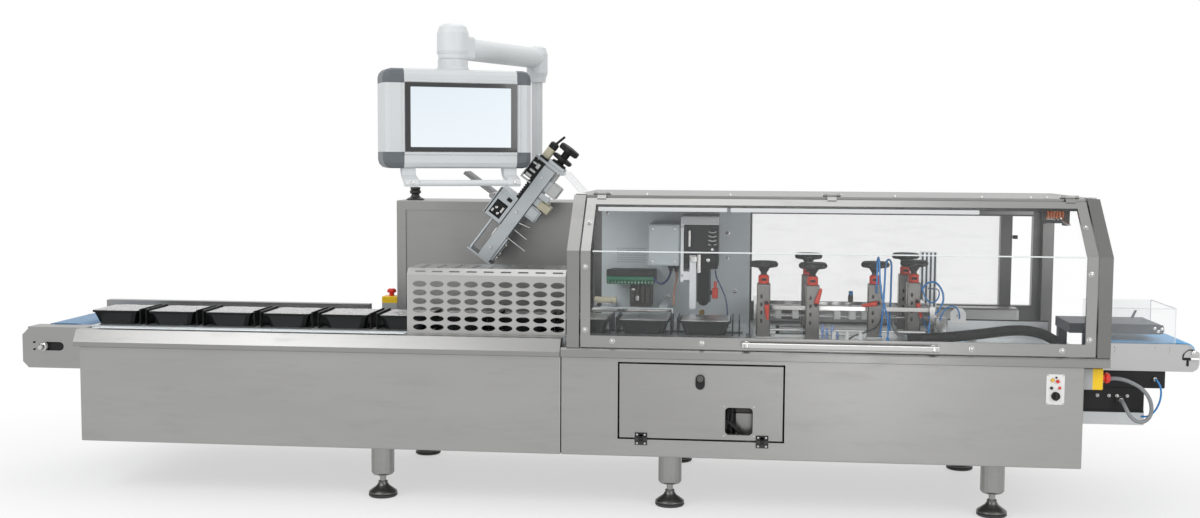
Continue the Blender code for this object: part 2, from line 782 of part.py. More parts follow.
def make_rails(machine, steel):
    """The folded front cover rail and the guide rail along the back of the infeed."""
    y = -RAIL_PROUD
    low = CABINET_TOP + GAP
    path = [(0.03, low), (y, low), (y, low + RAIL_FACE), (y + RAIL_BEVEL, RAIL_TOP),
            (INFEED_FRONT - 0.004, RAIL_TOP), (INFEED_FRONT - 0.004, low + 0.02)]
    rail = extrusion(sheet_outline(path, -RAIL_SHEET), "X", -LEFT_LENGTH - 0.016, -SEAM_GAP)
    new_object("infeed_front_rail", rail, steel, machine)
    back = INFEED_FRONT + INFEED_WIDTH + 0.004
    start = -LEFT_LENGTH - BACK_RAIL_REACH
    base = CABINET_TOP + GAP
    brow = BELT_TOP + BACK_RAIL_HEIGHT
    seat = BELT_TOP + BACK_RAIL_SEAT
    far = back + BACK_RAIL_DEPTH
    channel = [(back, base), (far, base), (far, brow), (far - BACK_RAIL_BROW, brow + BACK_RAIL_BROW),
               (back - BACK_RAIL_LIP, brow + BACK_RAIL_BROW), (back - BACK_RAIL_LIP, seat + BACK_RAIL_BROW),
               (back, seat)]
    rail = extrusion(channel, "X", start, BACK_LEFT - BACK_RAIL_STOP)
    new_object("infeed_back_rail", rail, steel, machine)


def make_flight_chain(machine, black):
    """The fixed chain strip with its pairs of wide flights and the trays that it carries."""
    first = TRAY_START - LEFT_LENGTH
    end = first + TRAY_PITCH * (TRAY_COUNT - 0.5) + 2 * LUG_GAP
    bed_start = INFEED_END + ROLLER_INSET + BELT_RUN + ROLLER_DIAMETER / 2 + 0.02
    y = TRAY_LINE
    strip = block((bed_start, end), (y - CHAIN_WIDTH / 2, y + CHAIN_WIDTH / 2),
                  (BELT_TOP - GAP - CHAIN_DEPTH, BELT_TOP + 0.002))
    chain = new_object("flight_chain", strip, black, machine)
    rim = TRAY_LENGTH / 2
    depth = TRAY_WIDTH / 2
    trays = []
    lugs = []
    for k in range(TRAY_COUNT):
        x = first + k * TRAY_PITCH
        trays.append(make_tray_form(x, y, rim, depth))
        for side in (-1, 1):
            lug_x = x + TRAY_PITCH / 2 + side * LUG_GAP
            lugs.append(block((lug_x - LUG_THICKNESS / 2, lug_x + LUG_THICKNESS / 2),
                              (y - LUG_WIDTH / 2, y + LUG_WIDTH / 2), (BELT_TOP + GAP, BELT_TOP + LUG_HEIGHT)))
    add_to(chain, joined(*trays), "trays")
    add_to(chain, joined(*lugs), "flights")


def make_tray_form(x, y, rim, depth):
    """A tapered tray with a flat rim."""
    data = bmesh.new()
    levels = (
        (0.0005, TRAY_TAPER),
        (TRAY_HEIGHT - TRAY_RIM, TRAY_TAPER * 0.25),
        (TRAY_HEIGHT - TRAY_RIM, 0.0),
        (TRAY_HEIGHT, 0.0),
    )
    rings = []
    for height, inset in levels:
        sides = (x - rim + inset, x + rim - inset, y - depth + inset, y + depth - inset)
        outline = rounded_outline(*sides, 0.022, 2)
        rings.append([data.verts.new((a, b, BELT_TOP + height)) for a, b in outline])
    for low, high in zip(rings, rings[1:]):
        for k in range(len(low)):
            data.faces.new((low[k - 1], low[k], high[k], high[k - 1]))
    data.faces.new(rings[0])
    data.faces.new(rings[-1])
    return data


def make_perforated_guard(machine, steel):
    """A folded sheet guard with rows of oval openings in its front and slots in its chamfer and top."""
    foot = RAIL_TOP + GAP
    top = foot + PERF_HEIGHT
    front = PERF_FRONT
    back = front + PERF_DEPTH
    left = PERF_LEFT
    right = PERF_LEFT + PERF_LENGTH
    flange = foot + PERF_SHEET
    path = [(front - PERF_FLANGE, flange), (front, flange), (front, top - PERF_CHAMFER),
            (front + PERF_CHAMFER, top), (back, top), (back, top - 0.02)]
    sheet = extrusion(sheet_outline(path, -PERF_SHEET), "X", left, right)
    guard = new_object("perforated_guard", sheet, steel, machine)
    face = []
    lid = []
    edge = []
    middle = (2 * front + PERF_CHAMFER) / 2
    for column in range(SLOT_COLUMNS):
        x = left + SLOT_FIRST_X + column * SLOT_PITCH_X
        for row in range(SLOT_ROWS):
            z = foot + SLOT_FIRST_Z + row * SLOT_PITCH_Z
            face.append(extrusion(oval_outline(x, z, SLOT_LENGTH, SLOT_WIDTH, SLOT_SEGMENTS), "Y",
                                  front - 0.004, front + 0.008))
        slot = extrusion(rounded_outline(-0.021, 0.021, -0.0035, 0.0035, 0.003, 1), "Y", -0.006, 0.006)
        place = Matrix.Translation((x, middle, top - PERF_CHAMFER / 2))
        edge.append(moved(slot, place @ Matrix.Rotation(radians(-45), 4, "X")))
        for row in range(3):
            y = front + PERF_CHAMFER + 0.040 + row * 0.056
            lid.append(extrusion(rounded_outline(x - 0.010, x + 0.010, y - 0.021, y + 0.021, 0.009, 2), "Z",
                                 top - 0.008, top + 0.004))
    cut_from(guard, joined(*face), "face_slots")
    cut_from(guard, joined(*lid), "top_slots")
    cut_from(guard, joined(*edge), "chamfer_slots")
    return smooth(guard)


# Back cabinet, support arm and operator panel

def make_back_cabinet(machine, steel):
    """A tall cabinet with a mitred border round an inset front sheet, and a pedestal on its top."""
    right = GUARD_LEFT - 0.005
    body = block((BACK_LEFT, right), (BACK_FRONT, CABINET_DEPTH), (CABINET_TOP + GAP, BACK_TOP))
    cabinet = new_object("back_cabinet", soften(body, 0.003), steel, machine)
    inset = block((BACK_LEFT + BACK_BORDER, right - BACK_BORDER),
                  (BACK_FRONT - 0.01, BACK_FRONT + BACK_INSET),
                  (CABINET_TOP + BACK_BORDER, BACK_TOP - BACK_BORDER))
    cut_from(cabinet, inset, "inset")
    radius = PEDESTAL_DIAMETER / 2
    height = PEDESTAL_HEIGHT
    profile = ((radius, -0.004), (radius, 0.005), (radius * 0.55, 0.014), (radius * 0.42, height * 0.45),
               (radius * 0.62, height * 0.55), (radius * 0.62, height * 0.72), (radius * 0.48, height * 0.78),
               (radius * 0.56, height * 0.85), (radius * 0.56, height))
    add_to(cabinet, turned(profile, (PEDESTAL_X, PEDESTAL_Y, BACK_TOP), segments=16), "pedestal")


def make_column(machine, grey):
    """The round column that carries the support arm, on a flange on the back cabinet."""
    radius = COLUMN_DIAMETER / 2
    flange = COLUMN_FLANGE / 2
    top = ARM_HEIGHT - ELBOW_DROP - GAP
    base = BACK_TOP + GAP
    profile = ((flange, base), (flange, base + COLUMN_FLANGE_THICKNESS),
               (radius + 0.006, base + COLUMN_FLANGE_THICKNESS + 0.002),
               (radius, base + COLUMN_FLANGE_THICKNESS + 0.030), (radius, top))
    column = new_object("arm_column", turned(profile, (COLUMN_X, COLUMN_Y, 0), segments=28), grey, machine)
    smooth(column)


def make_arm(arm_joint, grey):
    """The swing arm: an elbow over the column, a level tube, a socket and the head over the panel."""
    origin = arm_joint.location.copy()
    head = ARM_HEAD / 2
    foot = ARM_HEAD_FOOT
    top = ARM_HEAD_TOP
    profile = ((head * 0.86, foot), (head * 0.92, foot + 0.006), (head * 0.95, foot + 0.020),
               (head, foot + 0.024), (head, top - 0.034), (head * 0.86, top - 0.010), (head * 0.6, top))
    shape = turned(profile, (NECK_X, NECK_Y, 0), segments=32)
    arm = new_object("support_arm", shape, grey, arm_joint, origin)
    neck = Vector((NECK_X, NECK_Y, ARM_HEIGHT))
    column = Vector((COLUMN_X, COLUMN_Y, ARM_HEIGHT))
    along = (column - neck).normalized()
    add_to(arm, rod(neck, column - along * SPINDLE_DIAMETER / 2, ARM_DIAMETER, 24), "tube")
    half = SOCKET_WIDTH / 2
    rise = SOCKET_HEIGHT / 2
    socket = soften(block((0, SOCKET_LENGTH), (-half, half), (-rise, rise)), SOCKET_HEIGHT / 8, 2)
    turn = Matrix.Rotation(atan2(along.y, along.x), 4, "Z")
    add_to(arm, moved(socket, Matrix.Translation(neck) @ turn), "socket")
    elbow = ELBOW_DIAMETER / 2
    foot = ARM_HEIGHT - ELBOW_DROP
    profile = ((elbow * 0.80, foot), (elbow * 0.86, foot + 0.020), (elbow, foot + 0.040),
               (elbow, ARM_HEIGHT + 0.018), (elbow * 0.8, ARM_HEIGHT + 0.044),
               (elbow * 0.4, ARM_HEIGHT + 0.052))
    add_to(arm, turned(profile, (COLUMN_X, COLUMN_Y, 0), segments=32), "elbow")
    return smooth(arm)


def panel_place(data, shift):
    """Turn a shape that is modelled square to the machine about the neck, shifted along the panel."""
    turn = Matrix.Rotation(radians(PANEL_TURN), 4, "Z")
    return moved(data, Matrix.Translation((NECK_X, NECK_Y, 0)) @ turn @ Matrix.Translation((shift, 0, 0)))


def make_panel(panel_joint, grey, dark):
    """Operator panel: a housing with soft corners, the screen, the neck and the grip bar."""
    origin = panel_joint.location.copy()
    half = PANEL_WIDTH / 2
    depth = PANEL_DEPTH / 2
    outline = rounded_outline(-half, half, PANEL_FOOT, PANEL_TOP, PANEL_CORNER, 3)
    body = extrusion(outline, "Y", -depth, depth)
    rim = [e for e in body.edges if abs(e.verts[0].co.y - e.verts[1].co.y) < 1e-6]
    bmesh.ops.bevel(body, geom=rim, offset=PANEL_BEVEL, segments=2, affect="EDGES", profile=0.5)
    housing = new_object("panel_housing", panel_place(body, PANEL_SHIFT), grey, panel_joint, origin)
    width = SCREEN_WIDTH / 2
    foot = PANEL_FOOT + SCREEN_FOOT
    recess = block((-width - GAP, width + GAP), (-depth - PANEL_BEVEL, -depth + SCREEN_THICKNESS),
                   (foot - GAP, foot + SCREEN_HEIGHT + GAP))
    cut_from(housing, panel_place(recess, SCREEN_SHIFT), "recess")
    radius = NECK_DIAMETER / 2
    profile = ((radius + 0.004, PANEL_TOP - 0.03), (radius + 0.004, PANEL_TOP + 0.006),
               (radius, PANEL_TOP + 0.010), (radius, ARM_HEAD_FOOT - GAP))
    neck = turned(profile, (NECK_X, NECK_Y, 0), segments=28)
    add_to(housing, neck, "neck")
    smooth(housing)
    glass = block((-width, width), (-depth - 0.001, -depth + SCREEN_THICKNESS - GAP),
                  (foot, foot + SCREEN_HEIGHT))
    new_object("panel_screen", panel_place(glass, SCREEN_SHIFT), dark, panel_joint, origin)
    make_grip(panel_joint, grey, origin, depth)


def make_grip(panel_joint, grey, origin, depth):
    """Two curved brackets under the housing with a round grip bar between them."""
    low = PANEL_FOOT - GRIP_DROP
    y = -depth - GRIP_REACH
    bar = rod((-GRIP_SPAN / 2, y, low + 0.014), (GRIP_SPAN / 2, y, low + 0.014), GRIP_DIAMETER, 16)
    grip = new_object("panel_grip", panel_place(bar, GRIP_SHIFT), grey, panel_joint, origin)
    brackets = []
    outline = [(y + 0.016, low), (y - 0.010, low), (y - 0.016, low + 0.010), (y - 0.012, low + 0.028),
               (-depth + 0.014, PANEL_FOOT - 0.026), (-depth + 0.020, PANEL_FOOT - GAP),
               (-0.010, PANEL_FOOT - GAP), (-depth + 0.050, PANEL_FOOT - 0.030), (y + 0.026, low + 0.012)]
    for side in (-1, 1):
        x = side * GRIP_SPAN / 2
        brackets.append(extrusion(outline, "X", x - GRIP_BRACKET / 2, x + GRIP_BRACKET / 2))
    add_to(grip, panel_place(joined(*brackets), GRIP_SHIFT), "brackets")
    return smooth(grip)


# Carton magazine

def magazine_place(data):
    """Tilt a shape from the magazine's own frame, where x runs up the slope from its foot."""
    tilt = Matrix.Rotation(radians(-MAGAZINE_TILT), 4, "Y")
    return moved(data, Matrix.Translation((MAGAZINE_FOOT_X, MAGAZINE_Y, MAGAZINE_FOOT_Z)) @ tilt)


def make_magazine(machine, aluminium, steel, black, clear):
    """The tilted magazine: side plate, beam, carriage, rack, hopper bars, hand wheel, crank and cover."""
    make_side_plate(machine, aluminium)
    make_magazine_beam(machine, aluminium)
    make_carriage(machine, aluminium)
    make_rack(machine, black)
    make_magazine_bars(machine, steel)
    make_magazine_controls(machine, black)
    face = GUARD_LEFT - GAP - COVER_SHEET
    path = [(COVER_TOP_X, COVER_TOP), (face, COVER_FOOT), (face, COVER_FOOT - COVER_FLANGE)]
    cover = extrusion(sheet_outline(path, COVER_SHEET), "Y", COVER_FRONT, COVER_FRONT + COVER_DEPTH)
    new_object("magazine_cover", cover, clear, machine)


def make_side_plate(machine, aluminium):
    """The long plate that faces the front, with the foot plate across its end and the guide rod."""
    low = SIDE_PLATE_LOW
    plate = soften(block((0, MAGAZINE_LENGTH), (0, SIDE_PLATE_THICKNESS), (low, SIDE_PLATE_HIGH)), 0.002)
    side = new_object("magazine_side_plate", magazine_place(plate), aluminium, machine)
    foot = block((-FOOT_PLATE / 2, FOOT_PLATE / 2), (-0.0015, MAGAZINE_DEPTH / 2),
                 (FOOT_PLATE_LOW, FOOT_PLATE_LOW + FOOT_PLATE_WIDTH))
    add_to(side, magazine_place(foot), "foot")
    y = SIDE_PLATE_THICKNESS + GUIDE_ROD / 2
    guide = rod((0, y, GUIDE_ROD_HEIGHT), (CARRIAGE_START - GAP, y, GUIDE_ROD_HEIGHT), GUIDE_ROD, 12)
    add_to(side, magazine_place(guide), "guide")


def make_magazine_beam(machine, aluminium):
    """The box beam behind the side plate with its end plate, its mount and the two stop blocks under it."""
    front = SIDE_PLATE_THICKNESS + GAP
    low = SIDE_PLATE_LOW + 0.001
    high = SIDE_PLATE_HIGH - 0.001
    end = END_PLATE_FOOT
    beam = block((FOOT_PLATE / 2 + GAP, end + END_PLATE / 2), (front, MAGAZINE_DEPTH), (low, high))
    beam = new_object("magazine_beam", magazine_place(beam), aluminium, machine)
    cap = block((end, end + END_PLATE), (0, END_PLATE_DEPTH),
                (END_PLATE_LOW, END_PLATE_LOW + END_PLATE_WIDTH))
    add_to(beam, magazine_place(cap), "end_plate")
    reach = BACK_FRONT + BACK_INSET - GAP - MAGAZINE_Y
    mount = block((MOUNT_START, MOUNT_START + MOUNT_LENGTH), (MAGAZINE_DEPTH - 0.002, reach),
                  (low + 0.004, high - 0.004))
    add_to(beam, magazine_place(mount), "mount")
    bracket = block((0.246, 0.296), (front + 0.002, 0.060), (low - 0.052, low + 0.010))
    stops = [block((a, b), (front + 0.004, 0.070), (depth, low + 0.006))
             for a, b, depth in ((0.304, 0.333, -0.090), (0.374, 0.421, -0.078))]
    add_to(beam, magazine_place(joined(bracket, *stops)), "stops")


def make_carriage(machine, aluminium):
    """The carriage on the upper edge of the side plate, with its two pockets."""
    low = SIDE_PLATE_HIGH + GAP
    start = CARRIAGE_START
    end = start + CARRIAGE_LENGTH
    body = soften(block((start, end), (-0.004, CARRIAGE_DEPTH), (low, low + CARRIAGE_HEIGHT)), 0.003)
    carriage = new_object("magazine_carriage", magazine_place(body), aluminium, machine)
    wide = block((start + 0.016, start + 0.082), (-0.02, 0.028), (low + 0.016, low + 0.070))
    square = block((end - 0.034, end - 0.018), (-0.02, 0.028), (low + 0.016, low + 0.038))
    cut_from(carriage, magazine_place(joined(wide, square)), "pockets")


def make_rack(machine, black):
    """The toothed rack along the upper edge of the side plate, with its box at the upper end."""
    start = CARRIAGE_START + CARRIAGE_LENGTH + GAP
    end = END_PLATE_FOOT - GAP
    low = SIDE_PLATE_HIGH + GAP
    top = low + RACK_HEIGHT
    pitch = (end - start) / RACK_TEETH
    outline = [(start, low), (end, low)]
    for k in range(RACK_TEETH - 1, -1, -1):
        a = start + k * pitch
        outline += [(a + pitch, top), (a + pitch * 0.8, top + RACK_TOOTH),
                    (a + pitch * 0.4, top + RACK_TOOTH),
                    (a + pitch * 0.2, top)]
    outline.append((start, top))
    rack = new_object("magazine_rack", magazine_place(extrusion(outline, "Y", 0, RACK_DEPTH)), black, machine)
    box = block((end - RACK_BOX, end - 0.002), (0.002, RACK_DEPTH - 0.002),
                (low + 0.004, END_PLATE_LOW + END_PLATE_WIDTH))
    add_to(rack, magazine_place(box), "box")


def make_magazine_bars(machine, steel):
    """Parallel hopper bars that slope down to a cross bar on two lugs over the carriage."""
    slope = radians(BAR_SLOPE)
    low = Vector((BAR_FOOT_X, 0, BAR_FOOT))
    run = (BAR_TOP - BAR_FOOT) / sin(slope)
    high = low + Vector((-cos(slope) * run, 0, sin(slope) * run))
    first = MAGAZINE_Y + BAR_INSET
    last = MAGAZINE_Y + MAGAZINE_DEPTH - BAR_DIAMETER
    bars = []
    for k in range(BAR_COUNT):
        y = first + k * (last - first) / (BAR_COUNT - 1)
        bars.append(rod((low.x, y, low.z), (high.x, y, high.z), BAR_DIAMETER, 10))
    cross = rod((low.x, MAGAZINE_Y, low.z), (low.x, last + BAR_DIAMETER, low.z), BAR_DIAMETER * 1.4, 12)
    rails = new_object("magazine_bars", cross, steel, machine)
    add_to(rails, joined(*bars), "bars")
    foot = SIDE_PLATE_HIGH + CARRIAGE_HEIGHT + 2 * GAP
    lugs = [block((0.216, 0.242), (y, y + 0.014), (foot, foot + 0.016)) for y in (0.022, 0.106)]
    add_to(rails, magazine_place(joined(*lugs)), "lugs")


def lobed(profile, centre, direction, lobes, depth, segments):
    """A body of revolution whose wide rings are scalloped into lobes."""
    data = turned(profile, (0, 0, 0), (0, 0, 1), segments)
    wide = max(radius for radius, height in profile) * 0.9
    for vert in data.verts:
        radius = vert.co.xy.length
        if radius > wide:
            factor = 1 - depth * (0.5 + 0.5 * cos(lobes * atan2(vert.co.y, vert.co.x)))
            vert.co.xy = vert.co.xy * factor
    turn = Vector((0, 0, 1)).rotation_difference(Vector(direction)).to_matrix().to_4x4()
    return moved(data, Matrix.Translation(Vector(centre)) @ turn)


def make_magazine_controls(machine, black):
    """The double lobed hand wheel and the crank, both on a bearing plate at the end of the beam."""
    foot = END_PLATE_FOOT + END_PLATE + GAP
    radius = WHEEL_DIAMETER / 2
    hub = radius * 0.34
    profile = ((radius * 0.68, 0), (radius * 0.68, 0.022), (hub, 0.024), (hub, 0.030), (radius * 0.92, 0.033),
               (radius, 0.037), (radius, 0.045), (radius * 0.92, 0.049), (hub, 0.052), (hub, 0.072),
               (radius * 0.92, 0.075), (radius, 0.079), (radius, 0.095), (radius * 0.92, 0.099), (hub, 0.102))
    bearing = block((foot, foot + 0.008), (WHEEL_Y - 0.032, WHEEL_Y + 0.032), (-0.036, CRANK_HEIGHT + 0.020))
    knob = new_object("magazine_knob", magazine_place(soften(bearing, 0.002)), black, machine)
    wheel = lobed(profile, (foot + 0.001, WHEEL_Y, -0.005), (1, 0, 0), WHEEL_LOBES, 0.16, 36)
    add_to(knob, magazine_place(wheel), "wheel")
    profile = ((0.016, 0.002), (0.016, 0.050), (0.019, 0.053), (0.019, 0.074), (0.012, 0.080))
    y = WHEEL_Y - 0.006
    crank = turned(profile, (foot, y, CRANK_HEIGHT), (1, 0, 0), 16)
    add_to(knob, magazine_place(crank), "crank")
    lever = rod((foot + 0.066, y, CRANK_HEIGHT), (foot + 0.122, y, CRANK_HEIGHT - 0.014), 0.010, 10)
    add_to(knob, magazine_place(lever), "lever")
    return smooth(knob)


# Guard enclosure

def guard_line():
    """The front edge line of the guard, seen from the side: sill, bend and roof edge."""
    return [(GUARD_FRONT, BASE_TOP), (GUARD_FRONT, GUARD_BEND), (GUARD_TOP_FRONT, GUARD_TOP)]


def make_guard_frame(machine, steel, clear):
    """Base rail, the two side frames, roof, back frame and the fixed panes."""
    low = CABINET_TOP + GAP
    top = BASE_TOP - GAP
    front = GUARD_FRONT - BASE_RAIL_PROUD
    rail = [(front, low), (BASE_RAIL_BACK, low), (BASE_RAIL_BACK, top), (front + BASE_RAIL_CHAMFER, top),
            (front, top - BASE_RAIL_CHAMFER)]
    new_object("guard_base_rail", extrusion(rail, "X", SEAM_GAP / 2, GUARD_RIGHT), steel, machine)
    for name, x in (("guard_left_frame", GUARD_LEFT), ("guard_right_frame", GUARD_RIGHT - POST_WIDTH)):
        make_side_frame(name, machine, steel, x)
    left = GUARD_LEFT + POST_WIDTH
    right = GUARD_RIGHT - POST_WIDTH
    make_roof(machine, steel, left, right)
    make_back_frame(machine, steel, clear, left, right)


def make_side_frame(name, machine, steel, x):
    """One side of the guard: a bent front post, a top rail and a back post."""
    depth = POST_DEPTH
    low = CABINET_TOP + GAP
    outer = guard_line() + [(GUARD_BACK, GUARD_TOP), (GUARD_BACK, low)]
    inner = [(GUARD_BACK - 2 * depth, low), (GUARD_BACK - 2 * depth, GUARD_TOP - depth),
             (GUARD_TOP_FRONT + depth * 0.35, GUARD_TOP - depth),
             (GUARD_FRONT + depth, GUARD_BEND - depth * 0.39), (GUARD_FRONT + depth, BASE_TOP)]
    new_object(name, extrusion(outer + inner, "X", x, x + POST_WIDTH), steel, machine)


def make_roof(machine, steel, left, right):
    """The roof sheet between the side frames, with the front beam that carries the door hinge."""
    front = GUARD_TOP_FRONT + MOVE_GAP
    back = GUARD_BACK - POST_DEPTH - GAP
    beam = [(front, GUARD_TOP - ROOF_BEAM), (front + ROOF_BEAM_DEPTH, GUARD_TOP - ROOF_BEAM),
            (front + ROOF_BEAM_DEPTH, GUARD_TOP - ROOF_SHEET), (back, GUARD_TOP - ROOF_SHEET),
            (back, GUARD_TOP), (front, GUARD_TOP)]
    roof = new_object("guard_roof", extrusion(beam, "X", left + GAP, right - GAP), steel, machine)
    tabs = []
    knuckles = []
    for x in lift_places():
        for a in (x - LIFT_WIDTH / 2 - GAP - LIFT_TAB, x + LIFT_WIDTH / 2 + GAP):
            tabs.append(block((a, a + LIFT_TAB), (LIFT_AXIS_Y, LIFT_AXIS_Y + LIFT_REACH),
                              (GUARD_TOP - LIFT_LEAF / 3, GUARD_TOP + LIFT_LEAF)))
            knuckles.append(rod((a, LIFT_AXIS_Y, LIFT_AXIS_Z), (a + LIFT_TAB, LIFT_AXIS_Y, LIFT_AXIS_Z),
                                LIFT_BARREL, 12))
    add_to(roof, joined(*tabs), "hinge_leaves")
    add_to(roof, joined(*knuckles), "hinge_knuckles")


def lift_places():
    """Where the three hinges of the guard door sit along x."""
    return [GUARD_LEFT + part * (GUARD_RIGHT - GUARD_LEFT) for part in LIFT_HINGES]


def make_back_frame(machine, steel, clear, left, right):
    """The frame across the back: sill, beam and posts round a wide pane and a narrow open gap."""
    y_range = (GUARD_BACK - POST_DEPTH, GUARD_BACK)
    cut = (y_range[0] - 0.01, y_range[1] + 0.01)
    levels = (CABINET_TOP + BACK_SILL, GUARD_TOP - BACK_BEAM)
    frame = block((left + GAP, right - GAP), y_range, (CABINET_TOP + GAP, GUARD_TOP))
    frame = new_object("guard_back_frame", frame, steel, machine)
    near = WALL_RIGHT + 0.01
    gap_end = right - BACK_STILE
    gap_start = gap_end - BACK_GAP
    far = gap_start - BACK_POST_WIDTH
    openings = joined(block((near, far), cut, levels), block((gap_start, gap_end), cut, levels))
    cut_from(frame, openings, "openings")
    middle = GUARD_BACK - POST_DEPTH / 2
    pane = block((near + GAP, far - GAP), (middle, middle + PANE), (levels[0] + GAP, levels[1] - GAP))
    new_object("guard_back_pane", pane, clear, machine)


def make_guard_door(joint, steel, clear):
    """The lift-up door: two bent posts, a bottom rail, a hinge rail, the bent pane and the handle."""
    origin = joint.location.copy()
    left = GUARD_LEFT + POST_WIDTH + MOVE_GAP
    right = GUARD_RIGHT - POST_WIDTH - MOVE_GAP
    low = BASE_TOP + MOVE_GAP / 2
    run = Vector((GUARD_TOP_FRONT - GUARD_FRONT, GUARD_TOP - GUARD_BEND)).normalized()
    end = (GUARD_TOP_FRONT - run.x * DOOR_TOP_CUT, GUARD_TOP - run.y * DOOR_TOP_CUT)
    line = [(GUARD_FRONT, low), (GUARD_FRONT, GUARD_BEND), end]
    sheet = extrusion(sheet_outline(line, -DOOR_FRAME_DEPTH), "X", left, right)
    frame = new_object("guard_door_frame", sheet, steel, joint, origin)
    window_top = (end[0] - run.x * DOOR_TOP_RAIL, end[1] - run.y * DOOR_TOP_RAIL)
    window = [(GUARD_FRONT, low + DOOR_BOTTOM_RAIL), (GUARD_FRONT, GUARD_BEND), window_top]
    window = sheet_outline(offset_outline(window, 0.01), -0.02 - DOOR_FRAME_DEPTH)
    cut_from(frame, extrusion(window, "X", left + DOOR_POST_WIDTH, right - DOOR_POST_WIDTH), "window")
    strap_end = (LIFT_AXIS_Y - run.x * LIFT_REACH, LIFT_AXIS_Z - run.y * LIFT_REACH)
    strap = sheet_outline([strap_end, (LIFT_AXIS_Y, LIFT_AXIS_Z)], -LIFT_BARREL / 2)
    half = LIFT_WIDTH / 2
    add_to(frame, joined(*(extrusion(strap, "X", x - half, x + half) for x in lift_places())), "hinge_straps")
    barrels = [rod((x - half, LIFT_AXIS_Y, LIFT_AXIS_Z), (x + half, LIFT_AXIS_Y, LIFT_AXIS_Z), LIFT_BARREL, 12)
               for x in lift_places()]
    add_to(frame, joined(*barrels), "hinge_barrels")
    inside = offset_outline(line, -DOOR_FRAME_DEPTH - GAP)
    inside[0] = (inside[0][0], low + 0.004)
    inside[2] = (inside[2][0] - run.x * 0.012, inside[2][1] - run.y * 0.012)
    pane = extrusion(sheet_outline(inside, -PANE), "X", left + 0.008, right - 0.008)
    new_object("guard_door_pane", pane, clear, joint, origin)
    make_door_handle(joint, steel, origin, low)


def make_door_handle(joint, steel, origin, low):
    """A round bar on two stand-off bosses across the bottom rail of the door."""
    y = GUARD_FRONT - HANDLE_STANDOFF
    z = low + HANDLE_HEIGHT + HANDLE_DIAMETER / 2
    end = HANDLE_LEFT + HANDLE_LENGTH
    bar = rod((HANDLE_LEFT, y, z), (end, y, z), HANDLE_DIAMETER, 16)
    bar = new_object("guard_door_handle", bar, steel, joint, origin)
    bosses = [rod((x, y, z), (x, GUARD_FRONT - GAP, z), HANDLE_DIAMETER * 0.8, 14)
              for x in (HANDLE_LEFT + 0.016, end - 0.016)]
    add_to(bar, joined(*bosses), "bosses")
    return smooth(bar)


# Inside the guard

def make_inside(machine, steel, black, grey, pale):
    """Back plate, units on it, the table with its guide rods, and the height adjusters."""
    inner = GUARD_LEFT + POST_WIDTH + 0.004
    wall = block((inner, WALL_RIGHT), (WALL_Y, WALL_Y + WALL_THICKNESS), (CABINET_TOP + GAP, WALL_TOP))
    wall = new_object("rear_wall", wall, grey, machine)
    levels = (TRAY_GUIDE_FOOT, TRAY_GUIDE_FOOT + TRAY_GUIDE_HEIGHT)
    guide = block((inner, TRAY_GUIDE_END), (TRAY_GUIDE_Y, TRAY_GUIDE_Y + 0.006), levels)
    add_to(wall, guide, "tray_guide")
    arms = [block((x, x + 0.030), (TRAY_GUIDE_Y + 0.003, WALL_Y + 0.004), levels) for x in (0.100, 0.335)]
    add_to(wall, joined(*arms), "guide_arms")
    glue = block((GLUE_LEFT, GLUE_LEFT + GLUE_WIDTH), (WALL_Y - GLUE_DEPTH, WALL_Y - GAP),
                 (GLUE_FOOT, GLUE_FOOT + GLUE_HEIGHT))
    new_object("glue_unit", soften(glue, 0.008, 2), pale, machine)
    make_feed_unit(machine, grey, black)
    strip = block((TERMINAL_LEFT, TERMINAL_LEFT + TERMINAL_WIDTH), (WALL_Y - TERMINAL_DEPTH, WALL_Y - GAP),
                  (TERMINAL_FOOT, TERMINAL_FOOT + TERMINAL_HEIGHT))
    rack = new_object("control_rack", soften(strip, 0.003), black, machine)
    valves = block((VALVE_LEFT, VALVE_LEFT + VALVE_WIDTH), (WALL_Y - VALVE_DEPTH, WALL_Y - 2 * GAP),
                   (VALVE_FOOT, TERMINAL_FOOT + 0.010))
    add_to(rack, valves, "valves")
    make_table(machine, steel)
    make_guide_rods(machine, steel)
    for number, place in enumerate(ADJUSTERS, start=1):
        make_adjuster(f"height_adjuster_{number}", machine, steel, *place)


def make_table(machine, steel):
    """The table with its divider, an upright profile at the back and a cylinder that lies on it."""
    right = GUARD_RIGHT - POST_WIDTH - 0.010
    table = block((TABLE_LEFT, right), (TABLE_FRONT, TABLE_BACK), (CABINET_TOP + GAP, TABLE_TOP))
    table = new_object("machine_table", soften(table, 0.002), steel, machine)
    divider = block((DIVIDER_LEFT, right - DIVIDER_INSET), (DIVIDER_Y, DIVIDER_Y + 0.004),
                    (TABLE_TOP - 0.004, DIVIDER_TOP))
    add_to(table, divider, "divider")
    profile = block((PROFILE_LEFT, PROFILE_LEFT + PROFILE_SIZE), (PROFILE_Y, PROFILE_Y + PROFILE_SIZE / 2),
                    (TABLE_TOP - 0.004, PROFILE_TOP))
    add_to(table, profile, "profile")
    z = TABLE_TOP + CYLINDER_DIAMETER / 2 - 0.001
    cylinder = rod((CYLINDER_LEFT, CYLINDER_Y, z), (CYLINDER_LEFT + CYLINDER_LENGTH, CYLINDER_Y, z),
                   CYLINDER_DIAMETER, 14)
    add_to(table, cylinder, "cylinder")


